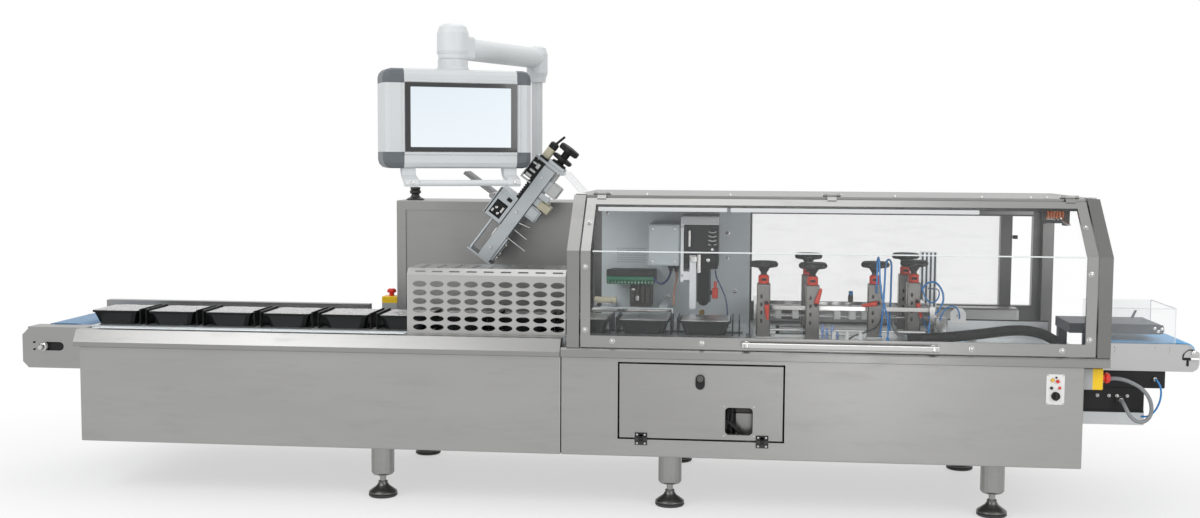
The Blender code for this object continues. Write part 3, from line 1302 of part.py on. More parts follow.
def make_feed_unit(machine, grey, black):
    """The carton feed unit: a hood with one leg and a front plate, round the black drive with its belt."""
    right = FEED_LEFT + FEED_WIDTH
    back = WALL_Y - GAP
    under = FEED_TOP - FEED_HOOD
    hood = block((FEED_LEFT, right), (FEED_FRONT, back), (under, FEED_TOP))
    unit = new_object("feed_unit", hood, grey, machine)
    leg = block((FEED_LEFT, FEED_LEFT + FEED_LEG), (FEED_FRONT, back), (FEED_LEG_FOOT, FEED_TOP - 0.010))
    add_to(unit, leg, "leg")
    plate_y = (FEED_FRONT + 0.002, FEED_FRONT + 0.010)
    strap = block((FEED_LEFT + 0.004, FEED_PLATE_LEFT + 0.006), plate_y,
                  (FEED_LEG_FOOT + 0.008, DRIVE_FOOT - 0.010))
    add_to(unit, strap, "strap")
    plate = block((FEED_PLATE_LEFT, FEED_PLATE_LEFT + FEED_PLATE_WIDTH),
                  (FEED_FRONT + 0.003, FEED_FRONT + 0.009),
                  (FEED_PLATE_FOOT, FEED_PLATE_FOOT + FEED_PLATE_HEIGHT))
    add_to(unit, plate, "plate")
    drive = block((FEED_LEFT + FEED_LEG + GAP, right - 0.002), (FEED_FRONT + 0.012, back),
                  (DRIVE_FOOT, under - GAP))
    drive = new_object("feed_drive", soften(drive, 0.004), black, machine)
    column = block((BELT_COLUMN_LEFT, BELT_COLUMN_LEFT + BELT_COLUMN_WIDTH),
                   (FEED_FRONT + 0.060, FEED_FRONT + 0.110),
                   (BELT_COLUMN_FOOT, DRIVE_FOOT + 0.010))
    add_to(drive, soften(column, 0.020, 2, along=1), "belt_column")


def make_guide_rods(machine, steel):
    """Polished rods along the table in three levels, held at their ends by two blocks."""
    start = TABLE_LEFT + 0.012
    near = ROD_LEVELS[0][0] - 0.030
    far = ROD_LEVELS[-1][0] + 0.030
    plates = [block((x, x + ROD_BLOCK), (near, far), (TABLE_TOP + GAP, ROD_BLOCK_TOP))
              for x in (start, ROD_END - ROD_BLOCK)]
    rods = new_object("guide_rods", plates[0], steel, machine)
    add_to(rods, plates[1], "end_block")
    bars = [rod((start + 0.005, y, z), (ROD_END - 0.005, y, z), ROD_DIAMETER, 12) for y, z in ROD_LEVELS]
    add_to(rods, joined(*bars), "rods")


def make_adjuster(name, machine, steel, x, y, rise):
    """A square post with a position collar and a wide hand knob on its conical neck."""
    half = ADJUSTER_POST / 2
    foot = TABLE_TOP + GAP
    top = foot + ADJUSTER_HEIGHT + rise
    post = soften(block((x - half, x + half), (y - half, y + half), (foot, top)), 0.003)
    post = new_object(name, post, steel, machine)
    collar = COLLAR_DIAMETER / 2
    knob = KNOB_DIAMETER / 2
    above = top + COLLAR_HEIGHT
    disc = above + KNOB_RISE
    stem = KNOB_STEM / 2
    profile = ((collar, top - 0.004), (collar, above - 0.006), (collar - 0.006, above), (stem, above + 0.001),
               (stem, above + 0.008), (knob * 0.45, disc - 0.004), (knob * 0.95, disc), (knob, disc + 0.004),
               (knob, disc + KNOB_HEIGHT - 0.005), (knob * 0.92, disc + KNOB_HEIGHT))
    add_to(post, turned(profile, (x, y, 0), segments=ADJUSTER_SEGMENTS), "knob")
    return post


def smooth_route(points, count):
    """Points along a smooth Catmull-Rom curve through hand-set ones."""
    knots = [Vector(p) for p in points]
    knots = [2 * knots[0] - knots[1]] + knots + [2 * knots[-1] - knots[-2]]
    result = []
    spans = len(knots) - 3
    for k in range(count + 1):
        place = min(k * spans / count, spans - 1e-9)
        span = int(place)
        t = place - span
        a, b, c, d = knots[span:span + 4]
        result.append(0.5 * (2 * b + (c - a) * t + (2 * a - 5 * b + 4 * c - d) * t * t
                             + (3 * b - a - 3 * c + d) * t ** 3))
    return result


def make_hose(name, parent, material, points, diameter, count, resolution=3):
    """A round hose along a smooth route, with closed ends."""
    curve = bpy.data.curves.new(name, "CURVE")
    curve.dimensions = "3D"
    curve.bevel_depth = diameter / 2
    curve.bevel_resolution = resolution
    curve.use_fill_caps = True
    spline = curve.splines.new("POLY")
    route = smooth_route(points, count)
    spline.points.add(len(route) - 1)
    for point, place in zip(spline.points, route):
        point.co = (*place, 1.0)
    curve.materials.append(material)
    hose = bpy.data.objects.new(name, curve)
    bpy.context.scene.collection.objects.link(hose)
    hose.parent = parent
    return hose


def make_duct(machine, black):
    """The flexible duct that rests on the table at both ends and rises between them."""
    rest = TABLE_TOP + DUCT_DIAMETER * 0.48
    route = [(GUARD_RIGHT - inset, DUCT_Y, rest + rise) for inset, rise in DUCT_ROUTE]
    make_hose("air_duct", machine, black, route, DUCT_DIAMETER, 14)


# Outfeed

def make_outfeed(machine, steel, blue, black, clear):
    """Side plates with their roller, belt, press unit, clear tunnel and the drive under the outfeed."""
    start = GUARD_RIGHT + GAP
    end = OUTFEED_END
    front = OUTFEED_FRONT
    back = front + OUTFEED_WIDTH
    top = OUTFEED_TOP
    foot = top - OUTFEED_DEPTH
    chamfer = OUTFEED_CHAMFER
    outline = [(start, foot), (end - 0.022, foot), (end - 0.006, foot + 0.010), (end, foot + 0.028),
               (end, top - chamfer * 0.6), (end - 0.003, top - chamfer / 2), (end - chamfer, top),
               (start, top)]
    axle_x = end - ROLLER_END
    inside = belt_inside(OUTFEED_ROLLER)
    axle_z = top + 0.004 - BELT_THICKNESS - inside
    frame = new_object("outfeed_frame", extrusion(outline, "Y", front, front + OUTFEED_PLATE), steel, machine)
    add_to(frame, extrusion(outline, "Y", back - OUTFEED_PLATE, back), "back_plate")
    near = front + OUTFEED_PLATE + 0.004
    far = back - OUTFEED_PLATE - 0.004
    ends = (front - 0.002, back + 0.002)
    roller = make_roller((axle_x, axle_z), OUTFEED_ROLLER, OUTFEED_SHAFT, ends, (near, far))
    add_to(frame, roller, "roller")
    smooth(frame)
    reach = start + OUTFEED_ROLLER / 2 + 0.012
    make_belt("outfeed_belt", machine, blue, (reach, axle_z), axle_x, OUTFEED_ROLLER,
              (near + 0.004, far - 0.004))
    make_press(machine, black, start, (front, back))
    corner = TUNNEL_CORNER
    tunnel = [(front, top + GAP), (front, TUNNEL_TOP - corner), (front + corner, TUNNEL_TOP),
              (back - corner, TUNNEL_TOP), (back, TUNNEL_TOP - corner), (back, top + GAP)]
    tunnel = extrusion(sheet_outline(tunnel, -TUNNEL_SHEET), "X", start, start + TUNNEL_LENGTH)
    new_object("outfeed_tunnel", tunnel, clear, machine)
    make_drive_boxes(machine, black, front, foot - GAP)


def make_press(machine, black, start, sides):
    """The low press unit over the belt, on a carrier that stands on the table."""
    front, back = sides
    low = OUTFEED_TOP + PRESS_FOOT
    top = low + PRESS_HEIGHT
    inner = start - PRESS_REACH
    end = start + PRESS_LENGTH
    nose = PRESS_NOSE
    outline = [(inner, low), (end - nose, low), (end, low + nose * 0.86), (end, top - nose * 0.86),
               (end - nose, top), (inner, top)]
    body = extrusion(outline, "Y", front + PRESS_INSET, back - PRESS_INSET)
    press = new_object("press_unit", body, black, machine)
    carrier = block((inner + 0.004, inner + 0.036), (back - 2 * PRESS_INSET, back - PRESS_INSET - 0.006),
                    (TABLE_TOP + GAP, low + 0.010))
    add_to(press, carrier, "carrier")


def make_drive_boxes(machine, black, front, top):
    """The drive housing under the outfeed: an upper box, a lower box and a tray with a chamfered end."""
    start = RIGHT_LENGTH + GAP
    end = RIGHT_LENGTH + LOWER_DRIVE_LENGTH
    upper = block((start, RIGHT_LENGTH + DRIVE_LENGTH), (front + 0.006, front + 0.006 + DRIVE_DEPTH),
                  (top - DRIVE_HEIGHT, top))
    drive = new_object("drive_housing", soften(upper, 0.003), black, machine)
    lower = block((start + 0.004, end), (front + 0.012, front + DRIVE_DEPTH - 0.004),
                  (top - LOWER_DRIVE_FOOT, top - DRIVE_HEIGHT + 0.004))
    add_to(drive, lower, "lower_box")
    brim = top - LOWER_DRIVE_FOOT + 0.002
    floor = top - DRIVE_TRAY_FOOT
    tray = [(start + 0.001, brim), (start + 0.001, floor + 0.022), (start + 0.021, floor), (end, floor),
            (end, brim)]
    add_to(drive, extrusion(tray, "Y", front + 0.008, front + DRIVE_DEPTH), "tray")


def make_stop_box(name, machine, material, corner, size, head, facing):
    """A small stop station: a box with a mushroom head on one face."""
    box = block(*((c, c + s) for c, s in zip(corner, size)))
    station = new_object(name, soften(box, 0.003), material, machine)
    radius = STOP_HEAD / 2
    profile = ((radius * 0.55, -0.003), (radius * 0.55, 0.012), (radius, 0.016), (radius, 0.024),
               (radius * 0.7, 0.031))
    add_to(station, turned(profile, head, facing, 16), "head")
    return station


def make_stops(machine, yellow):
    """One stop station on the right end of the cabinet and one at the back of the infeed."""
    size = STOP_SIZE
    x = RIGHT_LENGTH + GAP
    y = STOP_INSET
    make_stop_box("stop_station_right", machine, yellow, (x, y, STOP_FOOT), (size, size, STOP_HEIGHT),
                  (x + size, y + size / 2, STOP_FOOT + STOP_HEIGHT / 2), (1, 0, 0))
    x = BACK_LEFT - GAP - size
    y = BACK_FRONT + 0.010
    make_stop_box("stop_station_back", machine, yellow, (x, y, BACK_STOP_FOOT), (size, size, STOP_HEIGHT),
                  (x + size / 2, y + size / 2, BACK_STOP_FOOT + STOP_HEIGHT), (0, 0, 1))


def make_gas_strut(machine, black):
    """The gas strut under the roof: its foot block, cylinder and thin rod towards the door."""
    x = GUARD_RIGHT - STRUT_INSET
    back = (x, STRUT_BACK, GUARD_TOP - STRUT_DROP)
    front = (x, STRUT_FRONT, GUARD_BEND + STRUT_RISE)
    run = Vector(front) - Vector(back)
    waist = Vector(back) + run * 0.55
    strut = new_object("gas_strut", rod(back, waist, STRUT_TUBE, 14), black, machine)
    foot = block((x - 0.010, x + 0.010), (STRUT_BACK - 0.012, STRUT_BACK + 0.012),
                 (GUARD_TOP - STRUT_DROP - 0.012, GUARD_TOP - ROOF_SHEET - GAP))
    add_to(strut, foot, "foot")
    add_to(strut, rod(waist - run.normalized() * 0.004, front, STRUT_ROD, 10), "rod")


def main():
    clear_scene()
    steel = make_material("stainless", (0.55, 0.54, 0.52), 0.34, 1.0)
    aluminium = make_material("aluminium", (0.72, 0.73, 0.74), 0.38, 1.0)
    pale = make_material("pale_grey", (0.72, 0.74, 0.75), 0.5)
    grey = make_material("grey_paint", (0.50, 0.53, 0.56), 0.45)
    black = make_material("black_plastic", (0.03, 0.03, 0.03), 0.45)
    blue = make_material("blue_belt", (0.10, 0.24, 0.42), 0.6)
    yellow = make_material("yellow_plastic", (0.90, 0.62, 0.05), 0.4)
    clear = make_material("clear_sheet", (0.90, 0.93, 0.94), 0.05, 0.0, 0.35)
    machine = bpy.data.objects.new("machine", None)
    machine.location = (-MIDDLE_X, -MIDDLE_Y, 0)
    bpy.context.scene.collection.objects.link(machine)

    def joint(name, place):
        """An empty on a joint axis, in machine coordinates."""
        empty = bpy.data.objects.new(name, None)
        empty.location = place
        empty.parent = machine
        bpy.context.scene.collection.objects.link(empty)
        return empty

    middle = DOOR_LEFT + DOOR_WIDTH / 2
    access_hinge = joint("access_hinge", Vector((middle, -HINGE_BARREL / 2, ACCESS_AXIS_Z)))
    guard_hinge = joint("guard_hinge", Vector(((GUARD_LEFT + GUARD_RIGHT) / 2, LIFT_AXIS_Y, LIFT_AXIS_Z)))
    arm_joint = joint("arm_swivel", Vector((COLUMN_X, COLUMN_Y, ARM_HEIGHT)))
    panel_joint = joint("panel_swivel", Vector((NECK_X, NECK_Y, ARM_HEIGHT)))
    make_cabinets(machine, steel)
    make_legs(machine, steel)
    make_access_door(machine, access_hinge, steel)
    make_infeed(machine, steel, blue)
    make_flight_chain(machine, black)
    make_perforated_guard(machine, steel)
    make_back_cabinet(machine, steel)
    make_column(machine, pale)
    make_arm(arm_joint, pale)
    make_panel(panel_joint, pale, black)
    make_magazine(machine, aluminium, steel, black, clear)
    make_guard_frame(machine, steel, clear)
    make_guard_door(guard_hinge, steel, clear)
    make_inside(machine, steel, black, grey, pale)
    make_duct(machine, black)
    make_outfeed(machine, steel, blue, black, clear)
    make_stops(machine, yellow)
    make_gas_strut(machine, black)


main()
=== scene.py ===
"""Dresses the carton sleeving machine: finishes, small fittings, cables and the studio.

Metres, +Z up. Fittings are given in machine coordinates, where x is 0 at the seam of the two
cabinets, y is 0 at their front and z is 0 on the floor. ORIGIN carries them into the frame.
"""

from math import radians

import bpy
import numpy as np
from bpy.props import FloatProperty, FloatVectorProperty, PointerProperty
from mathutils import Matrix, Vector


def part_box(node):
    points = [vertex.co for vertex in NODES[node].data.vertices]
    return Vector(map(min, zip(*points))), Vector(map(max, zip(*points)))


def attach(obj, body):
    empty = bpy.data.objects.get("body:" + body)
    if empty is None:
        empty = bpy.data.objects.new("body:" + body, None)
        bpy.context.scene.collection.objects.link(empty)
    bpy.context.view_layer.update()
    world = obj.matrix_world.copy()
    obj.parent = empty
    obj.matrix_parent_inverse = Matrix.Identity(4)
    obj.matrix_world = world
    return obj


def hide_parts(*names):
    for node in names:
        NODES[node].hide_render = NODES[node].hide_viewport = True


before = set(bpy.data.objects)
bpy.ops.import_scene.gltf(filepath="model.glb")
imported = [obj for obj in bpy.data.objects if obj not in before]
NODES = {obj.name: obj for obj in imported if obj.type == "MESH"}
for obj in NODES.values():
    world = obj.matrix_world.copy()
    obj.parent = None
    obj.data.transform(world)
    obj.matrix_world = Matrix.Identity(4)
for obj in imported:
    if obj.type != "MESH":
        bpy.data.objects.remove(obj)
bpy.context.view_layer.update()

bl_info = {
    "name": "Carton sleeving machine dressing",
    "version": (1, 0, 0),
    "blender": (4, 5, 0),
    "location": "View3D > Sidebar > Sleever",
    "description": "Finishes, fittings, cables and studio for a carton sleeving machine",
    "category": "Object",
}

LEFT_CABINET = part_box("cabinet_left")
HALF_SEAM = 0.001
ORIGIN = np.array([LEFT_CABINET[1].x + HALF_SEAM, LEFT_CABINET[0].y, 0.0])

# Frames of the tilted pieces, in machine coordinates
NECK = np.array([-0.472, 0.3, 0.0])
PANEL_TURN = radians(25.0)
MAGAZINE_FOOT = np.array([-0.3865, 0.5, 0.899])
MAGAZINE_TILT = radians(53.0)

# Levels, edges and the way that the machine's front faces
TABLE_TOP = 0.62
BELT_TOP = 0.65
DOOR_FACE = -0.015
DOOR_BEND = 0.978
ROOF_EDGE = (0.2, 1.178)
GUARD_RIGHT = 1.979
OUTFEED_FRONT = 0.095
PROFILE_TOP = 0.935
TAKE_UP = (-2.059, 0.568)
FRONT = (0, -1, 0)

# Access door: x and z ranges of its sheet and its window, its thickness, the height of its hinges'
# axis, the x of each hinge and the x and z of the latch
DOOR = ((0.22, 0.825), (0.281, 0.559))
WINDOW = ((0.6133, 0.7143), (0.301, 0.402))
DOOR_SHEET = 0.016
DOOR_AXIS = 0.278
HINGES = (0.302, 0.75)
LATCH = (0.52, 0.496)

# Height adjusters: (x, y, rise) of each, the turn of its clamp lever and a post's top without rise
ADJUSTERS = ((0.753, 0.34, 0.0), (0.94, 0.3, 0.0), (1.185, 0.39, 0.0), (1.345, 0.48, 0.0),
             (0.935, 0.56, 0.018), (1.33, 0.64, 0.018))
LEVER_TURNS = (3.0, 163.0, -80.0, 14.0, -15.0, 20.0)
POST_TOP = 0.8353

# Trays: x of the first, y of their line, pitch, count and where the foils take over from the films
TRAY_FIRST = -1.809
TRAY_LINE = 0.2475
TRAY_PITCH = 0.234
TRAY_COUNT = 11
FOILS_FROM = 0.02

# How much bluer the clean outfeed belt is than the infeed belt
BELT_OUT_GAIN = (1.25, 1.85, 1.95)

# Camera: place, focal length on a 36 mm sensor, and turn, tilt and roll in degrees
CAMERA_PLACE = (0.5845, -5.431, 1.331)
CAMERA_LENS = 40.545
CAMERA_TURN, CAMERA_TILT, CAMERA_ROLL = 6.055, 85.6, 0.31

# Floor: half its width, where its fade to white starts and ends, and how white it is at the start
FLOOR_REACH = 30.0
FLOOR_FADE = (0.5, 1.15)
FLOOR_LIFT = 0.52

# What the lamps point at
LAMP_AIM = (0, 0, 0.7)


# Finishes by name, and the material slot that goes with each where it isn't stainless
FINISHES = {}
SLOT_FINISHES = {
    "aluminium": ("aluminium", "brass", "cream", "dark_aluminium", "light_box", "milky"),
    "black_plastic": ("black", "green", "rack", "soft_black"),
    "clear_sheet": ("edge", "strip"),
    "pale_grey": ("glue", "white"),
    "yellow_plastic": ("red",),
    "belt": ("blue_tube", "pale_blue"),
}
SLOTS = {name: slot for slot, names in SLOT_FINISHES.items() for name in names}


# Shapes: each is (points, faces), and faces are lists of point numbers

def basis(direction):
    """Two unit vectors at right angles to a direction, so that u x v points along it."""
    n = np.asarray(direction, float)
    n = n / np.linalg.norm(n)
    helper = np.array([0.0, 0.0, 1.0]) if abs(n[2]) < 0.9 else np.array([1.0, 0.0, 0.0])
    u = np.cross(helper, n)
    u = u / np.linalg.norm(u)
    return u, np.cross(n, u), n


def wall_faces(rows, columns):
    """Quads between rings: ring i, place j joins to ring i + 1, and the last place to the first."""
    i, j = np.meshgrid(np.arange(rows - 1), np.arange(columns), indexing="ij")
    k = (j + 1) % columns
    quads = np.stack([i * columns + j, i * columns + k, (i + 1) * columns + k, (i + 1) * columns + j],
                     axis=-1)
    return quads.reshape(-1, 4).tolist()


def ring_stack(rings):
    """A closed body through rings of equal count, with a flat face over each end."""
    rings = np.asarray(rings, float)
    rows, columns = rings.shape[:2]
    faces = wall_faces(rows, columns)
    faces.append(list(range(columns - 1, -1, -1)))
    faces.append([(rows - 1) * columns + k for k in range(columns)])
    return rings.reshape(-1, 3), faces


def lathe(profile, centre, direction=(0, 0, 1), sides=20, lobes=0, depth=0.0):
    """Body of revolution: centre + h n + r (1 - depth (1 + cos(lobes t)) / 2) (cos t u + sin t v)."""
    profile = np.asarray(profile, float)
    u, v, n = basis(direction)
    t = 2 * np.pi * np.arange(sides) / sides
    wave = 1 - depth * (1 + np.cos(lobes * t)) / 2
    circle = (np.cos(t)[:, None] * u + np.sin(t)[:, None] * v) * wave[:, None]
    rings = np.asarray(centre, float) + profile[:, 1, None, None] * n + profile[:, 0, None, None] * circle
    return ring_stack(rings)


def smooth_path(points, count):
    """Catmull-Rom curve: on each span the cubic through its two knots, the neighbours' chord as slope."""
    p = np.asarray(points, float)
    p = np.vstack([2 * p[0] - p[1], p, 2 * p[-1] - p[-2]])
    spans = len(p) - 3
    s = np.linspace(0, spans, count)
    k = np.minimum(s.astype(int), spans - 1)
    t = (s - k)[:, None]
    a, b, c, d = p[k], p[k + 1], p[k + 2], p[k + 3]
    return 0.5 * (2 * b + (c - a) * t + (2 * a - 5 * b + 4 * c - d) * t ** 2 + (3 * b - a - 3 * c + d)
                  * t ** 3)


def tube(path, radius, sides=12):
    """A ring of a radius carried along a path, its frame turned as little as can be at each step."""
    path = np.asarray(path, float)
    tangents = np.gradient(path, axis=0)
    tangents /= np.linalg.norm(tangents, axis=1)[:, None]
    u = basis(tangents[0])[0]
    frames = []
    for tangent in tangents:
        u = u - tangent * (u @ tangent)
        u = u / np.linalg.norm(u)
        frames.append(u)
    u = np.array(frames)
    v = np.cross(tangents, u)
    t = 2 * np.pi * np.arange(sides) / sides
    radius = np.broadcast_to(np.asarray(radius, float), (len(path),))
    rings = path[:, None] + radius[:, None, None] * (np.cos(t)[None, :, None] * u[:, None]
                                                     + np.sin(t)[None, :, None] * v[:, None])
    return ring_stack(rings)


def prism(outline, origin, u, v, depth):
    """A flat outline of (a, b) points in the plane origin + a u + b v, pulled by depth along u x v."""
    outline = np.asarray(outline, float)
    u = np.asarray(u, float)
    v = np.asarray(v, float)
    base = np.asarray(origin, float) + outline[:, :1] * u + outline[:, 1:] * v
    return ring_stack([base, base + np.cross(u, v) * depth])


def rounded(width, height, radius, steps=4, centre=(0.0, 0.0)):
    """A rectangle whose corners are quarter circles, as anticlockwise points."""
    radius = min(radius, width / 2 - 1e-5, height / 2 - 1e-5)
    quarter = np.linspace(0, np.pi / 2, steps + 1)
    points = []
    for turn, sx, sy in ((-np.pi / 2, 1, -1), (0.0, 1, 1), (np.pi / 2, -1, 1), (np.pi, -1, -1)):
        t = quarter + turn
        points.append(np.stack([centre[0] + sx * (width / 2 - radius) + radius * np.cos(t),
                                centre[1] + sy * (height / 2 - radius) + radius * np.sin(t)], axis=1))
    return np.vstack(points)


def face_plate(width, height, radius, steps, centre=(0.0, 0.0), y=0.0, depth=0.001):
    """A rounded plate in the x, z plane, pulled forwards from y by depth."""
    return prism(rounded(width, height, radius, steps, centre), (0, y, 0), (1, 0, 0), (0, 0, 1), depth)


def holed_plate(x, z, hole, front, depth):
    """A plate in the x, z plane with a hole: each place of the hole's rim is joined to the
    point of the plate's rim on the ray from the hole's centre, and the places nearest to the
    corners are moved into them.
    """
    centre = hole.mean(axis=0)
    ray = hole - centre
    reach = [np.where(np.abs(ray[:, k]) > 1e-9, (np.where(ray[:, k] > 0, side[1], side[0]) - centre[k])
                      / np.where(np.abs(ray[:, k]) > 1e-9, ray[:, k], 1.0), np.inf) for k,
             side in enumerate((x, z))]
    rim = centre + ray * np.minimum(*reach)[:, None]
    for corner in ((x[0], z[0]), (x[1], z[0]), (x[1], z[1]), (x[0], z[1])):
        rim[np.argmin(np.linalg.norm(rim - corner, axis=1))] = corner
    rings = [np.column_stack([loop[:, 0], np.full(len(loop), y), loop[:, 1]])
             for loop, y in ((rim, front), (hole, front), (hole, front + depth), (rim, front + depth))]
    count = len(hole)
    faces = [[k % (4 * count) for k in face] for face in wall_faces(5, count)]
    return np.vstack(rings), faces


def cushion_box(low, high, radius=0.003, steps=3):
    """A box with rounded upright edges and eased rims: inset rings at both ends of a rounded prism."""
    low = np.asarray(low, float)
    high = np.asarray(high, float)
    size = high - low
    middle = (low + high) / 2
    ease = min(radius * 0.5, size[2] * 0.25)
    rings = []
    for inset, z in ((ease, low[2]), (0.0, low[2] + ease), (0.0, high[2] - ease), (ease, high[2])):
        flat = rounded(size[0] - 2 * inset, size[1] - 2 * inset, radius, steps, middle[:2])
        rings.append(np.column_stack([flat, np.full(len(flat), z)]))
    return ring_stack(rings)


def socket_heads(places, direction, size):
    """Cap screw heads: a turned profile with a rolled rim and a socket sunk into its top."""
    r = size / 2
    h = size * 0.55
    profile = ((r * 0.96, -0.0006), (r, 0.0), (r, h * 0.72), (r * 0.86, h), (r * 0.5, h),
               (r * 0.46, h * 0.45), (r * 0.2, h * 0.42))
    return [lathe(profile, place, direction, 14) for place in places]


def dome_heads(places, direction, size):
    """Domed nuts on washers: a flat washer ring under a round cap."""
    r = size / 2
    profile = ((r, -0.0006), (r, size * 0.1), (r * 0.72, size * 0.12), (r * 0.72, size * 0.3),
               (r * 0.6, size * 0.46), (r * 0.34, size * 0.56), (r * 0.1, size * 0.58))
    return [lathe(profile, place, direction, 14) for place in places]


def boxes(*rows):
    """Rounded boxes, each from its low corner, its high corner and its edge radius."""
    return [cushion_box(*row) for row in rows]


def on_panel(points):
    """Turn (x, y, z) of the operator panel's own frame about its neck into machine coordinates."""
    points = np.asarray(points, float)
    c, s = np.cos(PANEL_TURN), np.sin(PANEL_TURN)
    return np.stack([NECK[0] + c * points[..., 0] - s * points[..., 1],
                     NECK[1] + s * points[..., 0] + c * points[..., 1], points[..., 2]], axis=-1)


def on_magazine(points):
    """Tilt (u up the slope, y, w off the plate) of the magazine's own frame into machine coordinates."""
    points = np.asarray(points, float)
    c, s = np.cos(MAGAZINE_TILT), np.sin(MAGAZINE_TILT)
    return np.stack([MAGAZINE_FOOT[0] + c * points[..., 0] - s * points[..., 2],
                     MAGAZINE_FOOT[1] + points[..., 1], MAGAZINE_FOOT[2] + s * points[..., 0] + c
                     * points[..., 2]], axis=-1)


def placed(shape, place):
    """A shape after its points are carried by a placing function."""
    points, faces = shape
    return place(points), faces


def piece(name, shapes, finish, body="root", slot=None, angle=35.0, bevel=0.0):
    """One object from several shapes, smooth where its faces meet under an angle, riding on a body."""
    points = []
    faces = []
    start = 0
    for shape_points, shape_faces in shapes:
        points.append(shape_points)
        faces += [[k + start for k in face] for face in shape_faces]
        start += len(shape_points)
    mesh = bpy.data.meshes.new(name)
    mesh.from_pydata((np.vstack(points) + ORIGIN).tolist(), [], faces)
    mesh.materials.append(FINISHES[finish])
    mesh.shade_smooth()
    mesh.set_sharp_from_angle(angle=radians(angle))
    item = bpy.data.objects.new(name, mesh)
    bpy.context.scene.collection.objects.link(item)
    if bevel:
        edge = item.modifiers.new("edge", "BEVEL")
        edge.width = bevel
        edge.segments = 2
        edge.limit_method = "ANGLE"
        edge.angle_limit = radians(40)
    slot = slot or SLOTS.get(finish, "stainless")
    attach(item, body)
    return item


def lay_cord(name, path, diameter, finish, stiffness="medium", lay="loose", sides=10):
    """A cable or hose along a path, a tube of its diameter."""
    item = piece(name, [tube(path, diameter / 2, sides)], finish, slot="hose", angle=60.0)
    path = path + ORIGIN
    return item


def cord_piece(name, points, diameter, finish, count, **laid):
    """A cord between two fittings, on a smooth path of count places through a few points."""
    return lay_cord(name, smooth_path(points, count), diameter, finish, **laid)


# Shader groups and materials

def add(tree, kind, **values):
    """A node of a kind, with input values by name and plain settings in lower case."""
    node = tree.nodes.new(kind)
    for key, value in values.items():
        if key in node.inputs:
            node.inputs[key].default_value = value
        else:
            setattr(node, key, value)
    return node


def maths(tree, operation, first, second):
    """One Math node, whose two inputs are sockets or numbers."""
    node = add(tree, "ShaderNodeMath", operation=operation)
    for k, value in enumerate((first, second)):
        if isinstance(value, (int, float)):
            node.inputs[k].default_value = value
        else:
            tree.links.new(value, node.inputs[k])
    return node.outputs[0]


def new_group(name, inputs, outputs):
    """An empty shader group with float or vector inputs and float outputs."""
    group = bpy.data.node_groups.new(name, "ShaderNodeTree")
    for label, kind, value in inputs:
        socket = group.interface.new_socket(label, in_out="INPUT", socket_type=kind)
        if value is not None:
            socket.default_value = value
    for label in outputs:
        group.interface.new_socket(label, in_out="OUTPUT", socket_type="NodeSocketFloat")
    return group, group.nodes.new("NodeGroupInput"), group.nodes.new("NodeGroupOutput")


def noise(tree, vector, scale, detail=3.0, roughness=0.55):
    """Noise texture on a vector, in patches of one over its scale."""
    node = add(tree, "ShaderNodeTexNoise", Scale=scale, Detail=detail, Roughness=roughness)
    tree.links.new(vector, node.inputs["Vector"])
    return node.outputs["Fac"]


def stretched(tree, vector, scale):
    """A vector scaled by a different amount on each axis."""
    node = add(tree, "ShaderNodeMapping", Scale=scale)
    tree.links.new(vector, node.inputs["Vector"])
    return node.outputs["Vector"]


def make_groups():
    """The effects that several finishes share: sheet grain, moulded speckle and handling marks."""
    vector = ("Vector", "NodeSocketVector", None)
    group, start, end = new_group("Sheet grain", (vector, ("Fineness", "NodeSocketFloat", 1.0)),
                                  ("Streak", "Cloud"))
    scaled = add(group, "ShaderNodeVectorMath", operation="SCALE")
    group.links.new(start.outputs["Vector"], scaled.inputs[0])
    group.links.new(start.outputs["Fineness"], scaled.inputs["Scale"])
    group.links.new(noise(group, stretched(group, scaled.outputs[0], (2.0, 400.0, 400.0)), 1.0, 4.0, 0.7),
                    end.inputs["Streak"])
    group.links.new(noise(group, stretched(group, start.outputs["Vector"], (1.1, 1.1, 3.0)), 1.6, 3.0, 0.5),
                    end.inputs["Cloud"])
    group, start, end = new_group("Moulded speckle", (vector, ("Size", "NodeSocketFloat", 900.0)),
                                  ("Height", "Tint"))
    fine = add(group, "ShaderNodeTexNoise", Detail=2.0)
    group.links.new(start.outputs["Vector"], fine.inputs["Vector"])
    group.links.new(start.outputs["Size"], fine.inputs["Scale"])
    group.links.new(fine.outputs["Fac"], end.inputs["Height"])
    group.links.new(noise(group, start.outputs["Vector"], 7.0, 4.0), end.inputs["Tint"])
    group, start, end = new_group("Handling marks", (vector, ("Amount", "NodeSocketFloat", 0.5)), ("Mask",))
    smear = noise(group, stretched(group, start.outputs["Vector"], (3.0, 9.0, 14.0)), 1.5, 6.0, 0.65)
    raised = maths(group, "MULTIPLY", maths(group, "SUBTRACT", smear, 0.52), 6.0)
    clamp = add(group, "ShaderNodeClamp")
    group.links.new(raised, clamp.inputs["Value"])
    group.links.new(maths(group, "MULTIPLY", clamp.outputs[0], start.outputs["Amount"]), end.inputs["Mask"])


def use_group(tree, name, vector, **values):
    """Place a shared group in a material and feed it a vector."""
    node = tree.nodes.new("ShaderNodeGroup")
    node.node_tree = bpy.data.node_groups[name]
    tree.links.new(vector, node.inputs["Vector"])
    for key, value in values.items():
        node.inputs[key].default_value = value
    return node


